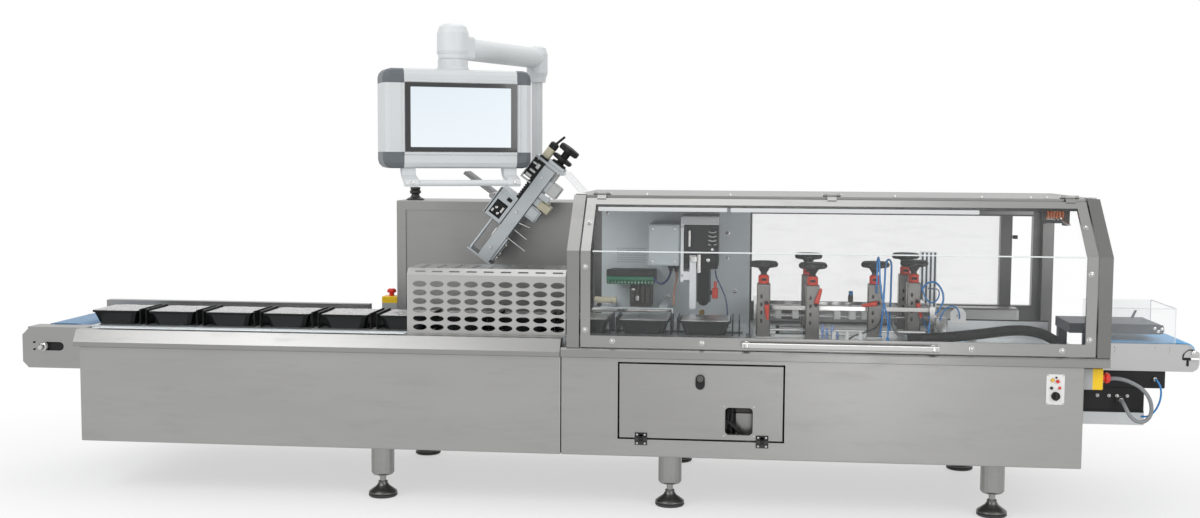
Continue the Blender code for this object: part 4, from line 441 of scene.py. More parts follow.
def colour_mix(tree, first, second, factor):
    """Mix two colours, given as sockets or values, by a factor socket or number."""
    node = add(tree, "ShaderNodeMix", data_type="RGBA")
    for socket, value in ((node.inputs[6], first), (node.inputs[7], second), (node.inputs[0], factor)):
        if isinstance(value, bpy.types.NodeSocket):
            tree.links.new(value, socket)
        elif isinstance(value, (int, float)):
            socket.default_value = value
        else:
            socket.default_value = (*value[:3], 1.0)
    return node.outputs[2]


def float_mix(tree, first, second, factor):
    """Mix two numbers or sockets by a factor socket."""
    node = add(tree, "ShaderNodeMix", data_type="FLOAT")
    for socket, value in ((node.inputs[2], first), (node.inputs[3], second), (node.inputs[0], factor)):
        if isinstance(value, bpy.types.NodeSocket):
            tree.links.new(value, socket)
        else:
            socket.default_value = value
    return node.outputs[0]


def begin(name):
    """A fresh material: its tree, its Principled shader and its Object coordinates."""
    material = bpy.data.materials.new(name)
    material.use_nodes = True
    tree = material.node_tree
    shader = tree.nodes["Principled BSDF"]
    where = tree.nodes.new("ShaderNodeTexCoord").outputs["Object"]
    return material, tree, shader, where


def bump(tree, shader, height, strength, distance):
    """Feed a height to the shader's normal through a Bump node."""
    node = add(tree, "ShaderNodeBump", Strength=strength, Distance=distance)
    tree.links.new(height, node.inputs["Height"])
    tree.links.new(node.outputs["Normal"], shader.inputs["Normal"])


def tinted(colour, factor):
    """A colour with each channel scaled."""
    return tuple(min(channel * factor, 1.0) for channel in colour)


def inside(tree, where, axis, low, high):
    """1 where a coordinate lies between two values, else 0."""
    parts = add(tree, "ShaderNodeSeparateXYZ")
    tree.links.new(where, parts.inputs[0])
    value = parts.outputs[axis]
    return maths(tree, "MULTIPLY", maths(tree, "GREATER_THAN", value, low),
                 maths(tree, "LESS_THAN", value, high))


def brushed(name, colour, low=0.26, high=0.42, fineness=1.0, along="X", marks=0.25, layers=(), cloud=0.16,
            metallic=1.0):
    """Brushed sheet: streaks along one axis in shade and roughness, cloudy patches, faint handling marks.

    layers are (mask maker, colour, roughness, metallic) for parts of a node in another finish.
    """
    material, tree, shader, where = begin(name)
    turned = {"X": (0, 0, 0), "Y": (0, 0, radians(90)), "Z": (0, radians(90), 0)}[along]
    mapping = add(tree, "ShaderNodeMapping", Rotation=turned)
    tree.links.new(where, mapping.inputs["Vector"])
    grain = use_group(tree, "Sheet grain", mapping.outputs["Vector"], Fineness=fineness)
    soil = use_group(tree, "Handling marks", where, Amount=marks)
    shade = colour_mix(tree, tinted(colour, 1 - cloud), tinted(colour, 1 + cloud), grain.outputs["Cloud"])
    shade = colour_mix(tree, shade, colour_mix(tree, tinted(colour, 0.86), tinted(colour, 1.12),
                                               grain.outputs["Streak"]), 0.45)
    shade = colour_mix(tree, shade, tinted(colour, 0.82), soil.outputs["Mask"])
    rough = float_mix(tree, low, high, grain.outputs["Streak"])
    rough = float_mix(tree, rough, min(high + 0.12, 1.0), soil.outputs["Mask"])
    metal = None
    for maker, tint, gloss, metalness in layers:
        mask = maker(tree, where)
        shade = colour_mix(tree, shade, tint, mask)
        rough = float_mix(tree, rough, gloss, mask)
        metal = float_mix(tree, metallic if metal is None else metal, metalness, mask)
    tree.links.new(shade, shader.inputs["Base Color"])
    tree.links.new(rough, shader.inputs["Roughness"])
    if metal is None:
        shader.inputs["Metallic"].default_value = metallic
    else:
        tree.links.new(metal, shader.inputs["Metallic"])
    bump(tree, shader, grain.outputs["Streak"], 0.12, 0.0006)
    return material


def coated(name, colour, roughness=0.5, size=900.0, grain=0.12, tint=0.05, layers=(), coat=0.0,
           specular=0.5):
    """Paint or moulded plastic: fine speckle in the surface and a slight change of tone over it."""
    material, tree, shader, where = begin(name)
    speckle = use_group(tree, "Moulded speckle", where, Size=size)
    shade = colour_mix(tree, tinted(colour, 1 - tint), tinted(colour, 1 + tint), speckle.outputs["Tint"])
    rough = float_mix(tree, max(roughness - 0.06, 0.02), roughness + 0.06, speckle.outputs["Tint"])
    for maker, other, gloss, _ in layers:
        mask = maker(tree, where)
        shade = colour_mix(tree, shade, other, mask)
        rough = float_mix(tree, rough, gloss, mask)
    tree.links.new(shade, shader.inputs["Base Color"])
    tree.links.new(rough, shader.inputs["Roughness"])
    shader.inputs["Coat Weight"].default_value = coat
    shader.inputs["Specular IOR Level"].default_value = specular
    bump(tree, shader, speckle.outputs["Height"], grain, 0.0004)
    return material


def clear(name, colour, alpha, roughness=0.04):
    """Clear plastic sheet: a faint tint with dusty patches that show a little more."""
    material, tree, shader, where = begin(name)
    dust = use_group(tree, "Handling marks", where, Amount=0.3)
    tree.links.new(float_mix(tree, alpha, min(alpha * 1.8, 1.0), dust.outputs["Mask"]),
                   shader.inputs["Alpha"])
    tree.links.new(float_mix(tree, roughness, roughness + 0.08, dust.outputs["Mask"]),
                   shader.inputs["Roughness"])
    tree.links.new(colour_mix(tree, colour, tinted(colour, 0.92), dust.outputs["Mask"]),
                   shader.inputs["Base Color"])
    shader.inputs["IOR"].default_value = 1.49
    return material


def foil(name, colour, metallic, roughness):
    """Crumpled film or foil: sharp cells of creases that break up its shine."""
    material, tree, shader, where = begin(name)
    cells = add(tree, "ShaderNodeTexVoronoi", Scale=48.0, feature="DISTANCE_TO_EDGE")
    tree.links.new(where, cells.inputs["Vector"])
    wave = noise(tree, where, 35.0, 5.0, 0.6)
    height = maths(tree, "ADD", cells.outputs["Distance"], maths(tree, "MULTIPLY", wave, 0.6))
    tree.links.new(colour_mix(tree, tinted(colour, 0.75), tinted(colour, 1.15), wave),
                   shader.inputs["Base Color"])
    tree.links.new(float_mix(tree, roughness, roughness + 0.2, wave), shader.inputs["Roughness"])
    shader.inputs["Metallic"].default_value = metallic
    bump(tree, shader, height, 0.6, 0.004)
    return material


def lit(name, low_colour, high_colour, strength, span):
    """A lit surface whose colour fades from one level to another: (z - low) / (high - low)."""
    material, tree, shader, where = begin(name)
    parts = add(tree, "ShaderNodeSeparateXYZ")
    tree.links.new(where, parts.inputs[0])
    rise = add(tree, "ShaderNodeMapRange")
    tree.links.new(parts.outputs["Z"], rise.inputs["Value"])
    rise.inputs["From Min"].default_value = span[0]
    rise.inputs["From Max"].default_value = span[1]
    tree.links.new(colour_mix(tree, low_colour, high_colour, rise.outputs[0]),
                   shader.inputs["Emission Color"])
    shader.inputs["Base Color"].default_value = (0.02, 0.02, 0.02, 1)
    shader.inputs["Roughness"].default_value = 0.25
    shader.inputs["Emission Strength"].default_value = strength
    return material


def ribbed(name, colour, pitch, roughness=0.55):
    """Rubber with a fine wave of ribs along x, darker in the troughs and lighter on the crests as painted
    shade and painted highlight.
    """
    material, tree, shader, where = begin(name)
    wave = add(tree, "ShaderNodeTexWave", Scale=1.0 / pitch / 3.0, bands_direction="X")
    tree.links.new(where, wave.inputs["Vector"])
    speckle = use_group(tree, "Moulded speckle", where, Size=500.0)
    # Colour follows the ribs' height: painted shade in the troughs, painted highlight on the crests.
    tree.links.new(colour_mix(tree, tinted(colour, 0.7), tinted(colour, 1.3), wave.outputs["Fac"]),
                   shader.inputs["Base Color"])
    tree.links.new(float_mix(tree, roughness, roughness + 0.15, speckle.outputs["Tint"]),
                   shader.inputs["Roughness"])
    shader.inputs["Specular IOR Level"].default_value = 0.2
    bump(tree, shader, wave.outputs["Fac"], 0.35, 0.002)
    return material


def above(z):
    """A mask of what stands higher than a level."""
    return lambda tree, where: inside(tree, where, "Z", z, 10.0)


def below(z):
    """A mask of what lies lower than a level."""
    return lambda tree, where: inside(tree, where, "Z", -1.0, z)


def between(axis, low, high):
    """A mask of what lies between two machine coordinates on one axis."""
    shift = ORIGIN["XYZ".index(axis)]
    return lambda tree, where: inside(tree, where, axis, low + shift, high + shift)


def before_cabinets(tree, where):
    """A mask of what stands in front of the cabinets' faces."""
    return inside(tree, where, "Y", -10.0, ORIGIN[1] - 0.0006)


def panel_corners(tree, where):
    """A mask of the four corner caps of the operator panel, in the panel's own frame."""
    mapping = add(tree, "ShaderNodeMapping", vector_type="TEXTURE", Rotation=(0, 0, PANEL_TURN),
                  Location=(NECK[0] + ORIGIN[0], NECK[1] + ORIGIN[1], 0))
    tree.links.new(where, mapping.inputs["Vector"])
    local = mapping.outputs["Vector"]
    sides = maths(tree, "SUBTRACT", 1.0, inside(tree, local, "X", -0.208, 0.24))
    high = inside(tree, local, "Z", 1.6035, 1.665)
    low = inside(tree, local, "Z", 1.27, 1.339)
    front = inside(tree, local, "Y", -0.2, 0.2)
    return maths(tree, "MULTIPLY", maths(tree, "MULTIPLY", sides, maths(tree, "ADD", high, low)), front)


def post_finish(name, top, red, black):
    """A slotted steel post with its red collar and black knob above a level."""
    return brushed(name, (0.2, 0.195, 0.185), 0.3, 0.42, along="Z",
                   layers=((above(top), red, 0.38, 0.0), (above(top + 0.0335), black, 0.5, 0.0)))


def make_finishes(tones):
    """Every finish of the machine, by name."""
    steel = tuple(tones.steel)
    black = (0.018, 0.018, 0.019)
    grey_box = (0.36, 0.37, 0.37)
    red = tuple(tones.collar)
    clean_belt = tuple(tone * gain for tone, gain in zip(tones.belt, BELT_OUT_GAIN))
    FINISHES.update({"cabinet": brushed("cabinet_sheet", steel, 0.3, 0.46),
                     "cabinet_right": brushed("cabinet_sheet_right", tinted(steel, 0.97), 0.3, 0.46,
                                              layers=((before_cabinets, black, 0.4, 0.0),)),
                     "access": brushed("access_door_sheet", tinted(steel, 0.91), 0.3, 0.44,
                                       layers=((before_cabinets, black, 0.4, 0.0),)),
                     "frame": brushed("guard_frame_steel", tinted(steel, 0.71), 0.26, 0.4, along="Z"),
                     # The guard's back frame takes the guard steel at a much darker tint: painted shade on
                     # the frame behind the panes.
                     "frame_back_shaded": brushed("guard_back_steel_painted_shade", tinted(steel, 0.3), 0.26, 0.4, along="Z"),
                     # The guard's right frame takes the guard steel at a darker tint: painted shade on that
                     # side of the frame.
                     "frame_right_shaded": brushed("right_frame_steel_painted_shade", tinted(steel, 0.52), 0.26, 0.4, along="Z"),
                     "door": brushed("guard_door_steel", tinted(steel, 0.87), 0.24, 0.38),
                     "rail": brushed("rail_sheet", tinted(steel, 0.8), 0.24, 0.38),
                     "back": brushed("back_cabinet_sheet", tinted(steel, 0.8), 0.3, 0.45, along="Z",
                                     layers=((above(1.1335), black, 0.4, 0.0),)),
                     "perforated": brushed("perforated_sheet", tinted(steel, 1.22), 0.24, 0.38),
                     "leg": brushed("leg_tube", tinted(steel, 0.84), 0.18, 0.32, along="Z",
                                    layers=((below(0.0315), (0.05, 0.05, 0.05), 0.45, 0.4),)),
                     "polished": brushed("polished_bar", (0.62, 0.62, 0.61), 0.12, 0.22, cloud=0.05,
                                         marks=0.1), "post": post_finish("slotted_post", POST_TOP, red,
                                                                         black),
                     "post_high": post_finish("slotted_post_high", POST_TOP + ADJUSTERS[-1][2], red, black),
                     "table": brushed("table_sheet", (0.76, 0.79, 0.8), 0.3, 0.44),
                     "end_plate": brushed("infeed_end_sheet", tinted(steel, 0.92), 0.28, 0.42),
                     "outfeed": brushed("outfeed_plate", (0.46, 0.46, 0.46), 0.32, 0.44, cloud=0.04,
                                        marks=0.1),
                     "aluminium": brushed("magazine_aluminium", (0.44, 0.47, 0.485), 0.32, 0.46, along="Z",
                                          cloud=0.06),
                     "dark_aluminium": brushed("dark_aluminium", (0.1, 0.11, 0.12), 0.34, 0.48, cloud=0.08),
                     "bars": brushed("magazine_bar_steel", (0.3, 0.3, 0.3), 0.2, 0.32, cloud=0.05),
                     "fastener": brushed("fastener_steel", (0.58, 0.58, 0.57), 0.18, 0.3, 2.0, cloud=0.05,
                                         marks=0.1), "panel": coated("panel_powder_coat",
                                                                     tuple(tones.panel), 0.42, 700.0, 0.1,
                                                                     layers=((panel_corners,
                                                                              (0.105, 0.12, 0.135), 0.45,
                                                                              0.0),)),
                     "arm": coated("arm_powder_coat", tinted(tones.panel, 1.08), 0.42, 700.0, 0.1),
                     "column": coated("column_powder_coat", tinted(tones.panel, 1.02), 0.42, 700.0, 0.1),
                     "wall": coated("grey_back_plate", (0.84, 0.92, 0.95), 0.42, 500.0, 0.1),
                     "hood": coated("pale_hood", (0.9, 0.93, 0.95), 0.4, 600.0, 0.1),
                     "glue": coated("glue_box_coat", (0.58, 0.64, 0.67), 0.4, 600.0, 0.1),
                     "black": coated("black_plastic", black, 0.45, 900.0, 0.14, 0.2, specular=0.2),
                     "soft_black": coated("soft_black", (0.024, 0.024, 0.024), 0.6, 500.0, 0.3, 0.2,
                                          specular=0.3), "rack": coated("dark_rack", (0.065, 0.06, 0.055),
                                                                        0.5, 700.0, 0.12, 0.2),
                     "glass_black": coated("screen_glass", (0.012, 0.013, 0.015), 0.12, 1200.0, 0.01, 0.02,
                                           coat=0.5), "belt": coated("belt_weave", tuple(tones.belt), 0.42,
                                                                     1400.0, 0.25, 0.1),
                     "belt_out": coated("belt_weave_out", clean_belt, 0.52, 1400.0, 0.25, 0.1),
                     "foot": brushed("foot_steel", (0.12, 0.12, 0.118), 0.24, 0.38, cloud=0.08),
                     "pale_blue": coated("pale_blue_plastic", (0.16, 0.26, 0.52), 0.25, 900.0, 0.04, 0.1,
                                         coat=0.2), "press": coated("press_unit_slate",
                                                                    (0.04, 0.046, 0.056), 0.4, 800.0, 0.08,
                                                                    0.1, specular=0.25),
                     "tray": coated("tray_plastic", (0.004, 0.0045, 0.005), 0.34, 300.0, 0.05, 0.2,
                                    specular=0.2), "red": coated("red_plastic", red, 0.34, 800.0, 0.06),
                     "orange": coated("orange_hose", (0.75, 0.2, 0.05), 0.35, 800.0, 0.05),
                     "copper": coated("copper_hose", (0.42, 0.2, 0.12), 0.4, 600.0, 0.08, 0.15),
                     "blue_tube": coated("blue_tube", (0.02, 0.2, 0.52), 0.22, 900.0, 0.03, 0.05, coat=0.2),
                     "navy": coated("navy_cable", (0.02, 0.035, 0.14), 0.4, 700.0, 0.08, 0.1),
                     "white": coated("white_plastic", (0.78, 0.78, 0.77), 0.38, 900.0, 0.05, 0.03),
                     "cream": coated("cream_plastic", (0.62, 0.58, 0.43), 0.45, 700.0, 0.08),
                     "milky": coated("milky_plastic", (0.6, 0.62, 0.61), 0.4, 700.0, 0.06),
                     "green": coated("terminal_green", (0.012, 0.17, 0.085), 0.4, 700.0, 0.1, 0.15),
                     "brass": brushed("brass_fitting", (0.62, 0.4, 0.12), 0.2, 0.34, 2.0, cloud=0.1),
                     "amber": coated("amber_lens", (0.7, 0.42, 0.05), 0.2, 900.0, 0.02, coat=0.4),
                     "grey_hose": coated("grey_conduit", (0.22, 0.23, 0.24), 0.45, 300.0, 0.25, 0.15),
                     "light_box": coated("light_sheet", (0.55, 0.57, 0.58), 0.36, 600.0, 0.06),
                     "strip": lit("strip_lens", (0.8, 0.83, 0.85), (0.95, 0.96, 0.97), 0.75, (1.11, 1.138)),
                     "display": lit("display_image", (0.8, 0.86, 0.9), (0.72, 0.8, 0.85), 1.0,
                                    (1.36, 1.59)), "clear": clear("clear_pane", (0.8, 0.82, 0.82), 0.028),
                     "clear_back": clear("clear_back_pane", (0.8, 0.81, 0.81), 0.12),
                     "tunnel": clear("clear_tunnel", (0.74, 0.78, 0.8), 0.12),
                     "cover": clear("clear_cover", (0.7, 0.76, 0.78), 0.3),
                     # Pale, nearly opaque sheet for the bends and edges of the clear panes: a painted
                     # highlight where they catch the light.
                     "edge": clear("painted_edge_highlight", (0.88, 0.92, 0.92), 0.72, 0.2),
                     "film": foil("tray_film", (0.5, 0.5, 0.5), 0.55, 0.16),
                     "foil": foil("crumpled_foil", (0.72, 0.72, 0.72), 1.0, 0.2),
                     "duct": ribbed("duct_rubber", (0.012, 0.012, 0.011), 0.008),
                     "station_right": coated("stop_station_right_plastic", (0.85, 0.55, 0.01), 0.35, 800.0,
                                             0.05, layers=((between("X", 1.0, 1.9285), grey_box, 0.45, 0),
                                                           (between("X", 1.9655, 2.5), (0.7, 0.03, 0.02),
                                                            0.3, 0))),
                     "station_back": coated("stop_station_back_plastic", (0.85, 0.55, 0.01), 0.35, 800.0,
                                            0.05, layers=((below(0.69), grey_box, 0.45, 0),
                                                          (above(0.7185), (0.7, 0.03, 0.02), 0.3, 0))),
                     "strut": brushed("strut_metal", (0.03, 0.03, 0.03), 0.3, 0.4, along="Y",
                                      layers=((between("Y", 0.0, 0.362), (0.5, 0.5, 0.5), 0.2, 1.0),)),})


def finish_nodes():
    """Give each node of the fixed frame its finish."""
    table = {"cabinet": ["cabinet_left"], "cabinet_right": ["cabinet_right"], "access": ["access_door"],
             "leg": [f"leg_{row}_{k}" for row in ("front", "back") for k in (1, 2, 3)],
             "end_plate": ["infeed_end_frame"], "rail": ["infeed_front_rail", "infeed_back_rail",
                                                         "guard_base_rail"],
             "table": ["chain_bed", "machine_table"], "belt": ["infeed_belt"], "belt_out": ["outfeed_belt"],
             "tray": ["flight_chain"], "perforated": ["perforated_guard"], "back": ["back_cabinet"],
             "column": ["arm_column"], "arm": ["support_arm", "panel_grip"], "panel": ["panel_housing"],
             "glass_black": ["panel_screen"], "aluminium": ["magazine_side_plate", "magazine_beam",
                                                            "magazine_carriage"], "bars": ["magazine_bars"],
             "black": ["magazine_knob", "magazine_rack", "feed_drive", "drive_housing"],
             "cover": ["magazine_cover"], "frame": ["guard_left_frame", "guard_roof"],
             "frame_back_shaded": ["guard_back_frame"], "frame_right_shaded": ["guard_right_frame"],
             "door": ["guard_door_frame"], "polished": ["guard_door_handle", "guide_rods"],
             "clear": ["guard_door_pane"], "clear_back": ["guard_back_pane"], "wall": ["rear_wall"],
             "glue": ["glue_unit"], "hood": ["feed_unit"], "rack": ["control_rack"],
             "outfeed": ["outfeed_frame"], "post": [f"height_adjuster_{k}" for k,
                                                    place in enumerate(ADJUSTERS, start=1) if not place[2]],
             "post_high": [f"height_adjuster_{k}" for k, place in enumerate(ADJUSTERS, start=1)
                           if place[2]], "tunnel": ["outfeed_tunnel"], "press": ["press_unit"],
             "duct": ["air_duct"], "strut": ["gas_strut"], "station_right": ["stop_station_right"],
             "station_back": ["stop_station_back"],}
    done = set()
    for name, nodes in table.items():
        for node in nodes:
            NODES[node].data.materials.clear()
            NODES[node].data.materials.append(FINISHES[name])
            done.add(node)
    missing = set(NODES) - done
    if missing:
        raise RuntimeError(f"nodes without a finish: {sorted(missing)}")


# Operator panel

def make_panel_trim():
    """The lit display, its bezel lip, the rings on the arm head and the screws of the grip."""
    face = -0.0793

    def plate(width, height, radius, centre, depth):
        """A rounded plate on the panel's face."""
        shape = face_plate(width, height, radius, 4, centre, y=face, depth=depth)
        return placed(shape, on_panel)

    piece("panel_display", [plate(0.398, 0.231, 0.003, (0.0153, 1.4735), 0.0012)], "display",
          "operator_panel", "screen", bevel=0.0004)
    rim = []
    for width, height, centre in ((0.47, 0.008, (0.018, 1.6125)), (0.47, 0.008, (0.018, 1.3335)),
                                  (0.008, 0.27, (-0.2125, 1.473)), (0.008, 0.27, (0.2485, 1.473))):
        rim.append(plate(width, height, 0.002, centre, 0.0022))
    piece("panel_screen_lip", rim, "panel", "operator_panel", "pale_grey", bevel=0.0008)
    rings = [lathe(((0.0612, z - 0.0016), (0.0632, z), (0.0612, z + 0.0016), (0.059, z)),
                   (NECK[0], NECK[1], 0), sides=40) for z in (1.7275, 1.7335)]
    piece("arm_head_rings", rings, "column", "support_arm", "pale_grey", angle=60)
    flats = [placed(lathe(((0.006, 0.0), (0.0062, 0.0012), (0.0048, 0.002), (0.0012, 0.002)),
                          (x, -0.1245, 1.2215), FRONT, 14), on_panel) for x in (-0.187, 0.217)]
    piece("grip_screws", flats, "fastener", "operator_panel", "stainless")
    vents = [placed(prism(rounded(0.06, 0.004, 0.0018, 3, (0.0, z)), (-0.045, 0.0783, 0), (-1, 0, 0),
                          (0, 0, 1), 0.0006), on_panel) for z in np.linspace(1.38, 1.48, 9)]
    piece("panel_back_vents", vents, "black", "operator_panel", "black_plastic")


# Magazine

def make_magazine_trim():
    """Screws, rack box sheets, bearing block, spindle sleeve, stops and rods of the magazine."""
    def box(low, high, radius=0.002):
        """A rounded box in the magazine's own frame."""
        return placed(cushion_box(low, high, radius), on_magazine)

    bolts = on_magazine([(0.4152, 0.0, 0.0141), (0.2373, 0.0, 0.0113), (0.0575, 0.0, 0.0105)])
    piece("magazine_plate_screws", socket_heads(bolts, FRONT, 0.013), "fastener")
    small = on_magazine([(0.17, -0.0042, 0.112), (0.262, -0.0042, 0.112), (0.17, -0.0042, 0.044),
                         (0.4665, -0.0002, 0.07), (0.4665, -0.0002, -0.03)])
    piece("magazine_small_screws", socket_heads(small, FRONT, 0.007), "fastener")
    sheets = [box((0.366, -0.004, 0.0385), (0.371, 0.032, 0.089)),
              box((0.371, -0.004, 0.0855), (0.462, 0.032, 0.0895)),
              box((0.385, -0.0045, 0.052), (0.397, -0.001, 0.078)),
              box((0.409, -0.0045, 0.048), (0.418, -0.001, 0.074)),
              box((0.43, -0.0045, 0.046), (0.452, -0.001, 0.06)),
              box((0.441, -0.0045, 0.062), (0.449, -0.001, 0.08))]
    piece("rack_box_sheets", sheets, "milky")
    piece("magazine_bearing_block", [box((0.4725, 0.008, -0.043), (0.4945, 0.084, 0.034), 0.004)],
          "aluminium")
    sleeve = lathe(((0.0172, 0.4835), (0.0185, 0.486), (0.0185, 0.529), (0.0172, 0.531)), (0, 0.04, 0.056),
                   (1, 0, 0), 24)
    piece("crank_sleeve", [placed(sleeve, on_magazine)], "cream")
    piece("magazine_cream_block", [box((0.301, 0.012, -0.0925), (0.335, 0.084, -0.04), 0.004),
                                   box((0.3355, 0.02, -0.074), (0.345, 0.07, -0.04), 0.002)],
          "cream")
    piece("magazine_milky_block", [box((0.371, 0.012, -0.08), (0.424, 0.085, -0.036), 0.005),
                                   box((0.38, 0.02, -0.036), (0.47, 0.06, -0.0245), 0.003)],
          "milky")
    plates = [box((0.244, 0.008, -0.066), (0.291, 0.012, -0.0205)),
              box((0.34, 0.006, -0.068), (0.364, 0.011, -0.0205)),
              box((0.25, 0.004, -0.0695), (0.254, 0.064, -0.0205)),
              box((0.018, -0.003, -0.029), (0.126, 0.01, -0.0215)),
              box((0.296, 0.01, -0.06), (0.3, 0.06, -0.0205))]
    piece("magazine_lower_plates", plates, "aluminium")
    rods = [((0.131, 0.004, -0.018), (0.1305, 0.004, -0.112)),
            ((0.131, 0.004, -0.018), (0.104, 0.004, -0.018)), ((0.1705, 0.03, -0.0215),
                                                               (0.169, 0.03, -0.088)),
            ((0.024, 0.006, -0.034), (0.12, 0.006, -0.034)), ((0.136, 0.014, 0.04), (0.098, 0.014, 0.0385)),
            ((0.206, 0.02, -0.021), (0.2175, 0.02, -0.07))]
    shapes = []
    for a, b in rods:
        a, b = on_magazine([a, b])
        run = b - a
        length = float(np.linalg.norm(run))
        shapes.append(lathe(((0.0022, 0.0), (0.0028, 0.0006), (0.0028, length - 0.0006), (0.0022, length)),
                            a, run, 10))
    piece("magazine_thin_rods", shapes, "polished")
    nuts = [placed(lathe(((0.006, 0), (0.0066, 0.001), (0.0066, 0.01), (0.006, 0.011)), (u, 0.006, -0.034),
                         (1, 0, 0), 6), on_magazine) for u in (0.03, 0.052, 0.094)]
    piece("magazine_nuts", nuts, "fastener")
    # Black blocks in the carriage's pockets: painted shade in the recesses.
    dark = [box((0.174, -0.0005, 0.055), (0.232, 0.0275, 0.104), 0.001),
            box((0.2545, -0.0005, 0.0535), (0.2675, 0.0275, 0.0735), 0.001)]
    piece("carriage_pocket_painted_shade", dark, "black")
    works = [placed(lathe(((0.005, 0.0), (0.006, 0.001), (0.006, 0.012), (0.003, 0.014)), (u, -0.0015, w),
                          FRONT, 16), on_magazine) for u, w in ((0.188, 0.07), (0.206, 0.088))]
    works.append(box((0.196, -0.01, 0.058), (0.222, -0.001, 0.068)))
    works.append(box((0.18, -0.008, 0.092), (0.196, -0.001, 0.101)))
    piece("carriage_works", works, "fastener", slot="aluminium")
    rail = [box((0.158, -0.0052, 0.1195), (0.284, 0.12, 0.1245), 0.002)]
    piece("carriage_top_rail", rail, "aluminium")


# Guard

def slope(distance):
    """A point of the guard's outside, at a distance up the sloping pane from its bend."""
    run = np.array([ROOF_EDGE[0] - DOOR_FACE, ROOF_EDGE[1] - DOOR_BEND])
    run = run / np.linalg.norm(run)
    return DOOR_FACE + run[0] * distance, DOOR_BEND + run[1] * distance


def make_guard_trim():
    """Door screws, a painted highlight along the bend of the pane, pane edges, light strips, latch and roof
    caps.
    """
    places = [(0.0926, DOOR_FACE, 0.9195), (0.0918, DOOR_FACE, 0.6851), (0.1934, DOOR_FACE, 0.6446),
              (0.5237, DOOR_FACE, 0.6437), (1.4946, DOOR_FACE, 0.642), (1.8111, DOOR_FACE, 0.6418),
              (1.9044, DOOR_FACE, 0.6816), (1.9034, DOOR_FACE, 0.9169)]
    piece("guard_door_screws", dome_heads(places, FRONT, 0.02), "fastener", "guard_door")
    y, z = slope(0.145)
    normal = (0, -0.681, 0.732)
    high = dome_heads([(0.0935, y, z), (1.905, y, z)], normal, 0.018)
    piece("guard_door_slope_screws", high, "fastener", "guard_door")
    # A pale tube along the pane's bend: a painted highlight where the bent sheet catches the light.
    bend = tube([(0.118, DOOR_FACE + 0.0115, DOOR_BEND - 0.002),
                 (1.884, DOOR_FACE + 0.0115, DOOR_BEND - 0.002)], 0.0028, 8)
    piece("pane_bend_highlight", [bend], "edge", "guard_door", "clear_sheet", angle=60)
    strips = []
    housings = []
    for a, b in ((0.112, 0.608), (0.622, 1.552)):
        strips.append(cushion_box((a, 0.236, 1.1155), (b, 0.256, 1.133), 0.004))
        housings.append(cushion_box((a - 0.004, 0.232, 1.1335), (b + 0.004, 0.262, 1.1515), 0.003))
    piece("roof_light_lenses", strips, "strip")
    piece("roof_light_housings", housings, "light_box")
    latch = boxes(((1.814, 0.938, 0.984), (1.8335, 0.9595, 0.9995), 0.003),
                  ((1.819, 0.93, 0.988), (1.8275, 0.94, 0.9955), 0.002))
    piece("back_latch", latch, "black")
    caps = []
    for x in (0.046, 1.956):
        caps.append(cushion_box((x - 0.02, 0.23, 1.1785), (x + 0.02, 0.262, 1.1835), 0.004))
    piece("roof_corner_caps", caps, "fastener")
    tops = dome_heads([(x, 0.246, 1.1782) for x in (0.3, 0.62, 1.24, 1.56, 1.74, 1.8)], (0, 0, 1), 0.014)
    piece("roof_screws", tops, "fastener")
    hinge = [lathe(((0.003, 0.0), (0.0044, 0.001), (0.0044, 0.004), (0.002, 0.0055)), (x, 0.203, 1.1845),
                   (d, 0, 0), 14) for centre in (0.1306, 1.001, 1.8714) for x,
             d in ((centre - 0.0315, -1), (centre + 0.0315, 1))]
    piece("lift_hinge_pins", hinge, "polished")
    inner = [cushion_box((0.073, 0.9555, 0.7), (0.101, 0.9595, 1.14), 0.001)]
    piece("back_corner_strip", inner, "frame")
    beam = [cushion_box((0.712, 0.951, 1.086), (1.9, 0.9595, 1.104), 0.003)]
    piece("back_beam_rib", beam, "frame")


def make_handle_trim():
    """Collars and screws of the handle's two stand-offs."""
    shapes = []
    for x in (0.688, 1.36):
        shapes.append(lathe(((0.0128, 0.0), (0.0138, 0.002), (0.0138, 0.008), (0.012, 0.01)),
                            (x, DOOR_FACE, 0.641), FRONT, 20))
        shapes.append(lathe(((0.0085, 0.0), (0.0092, 0.001), (0.007, 0.004), (0.0025, 0.0045)),
                            (x, -0.0558, 0.641), FRONT, 16))
    piece("handle_collars", shapes, "fastener", "guard_door")


# Inside the guard

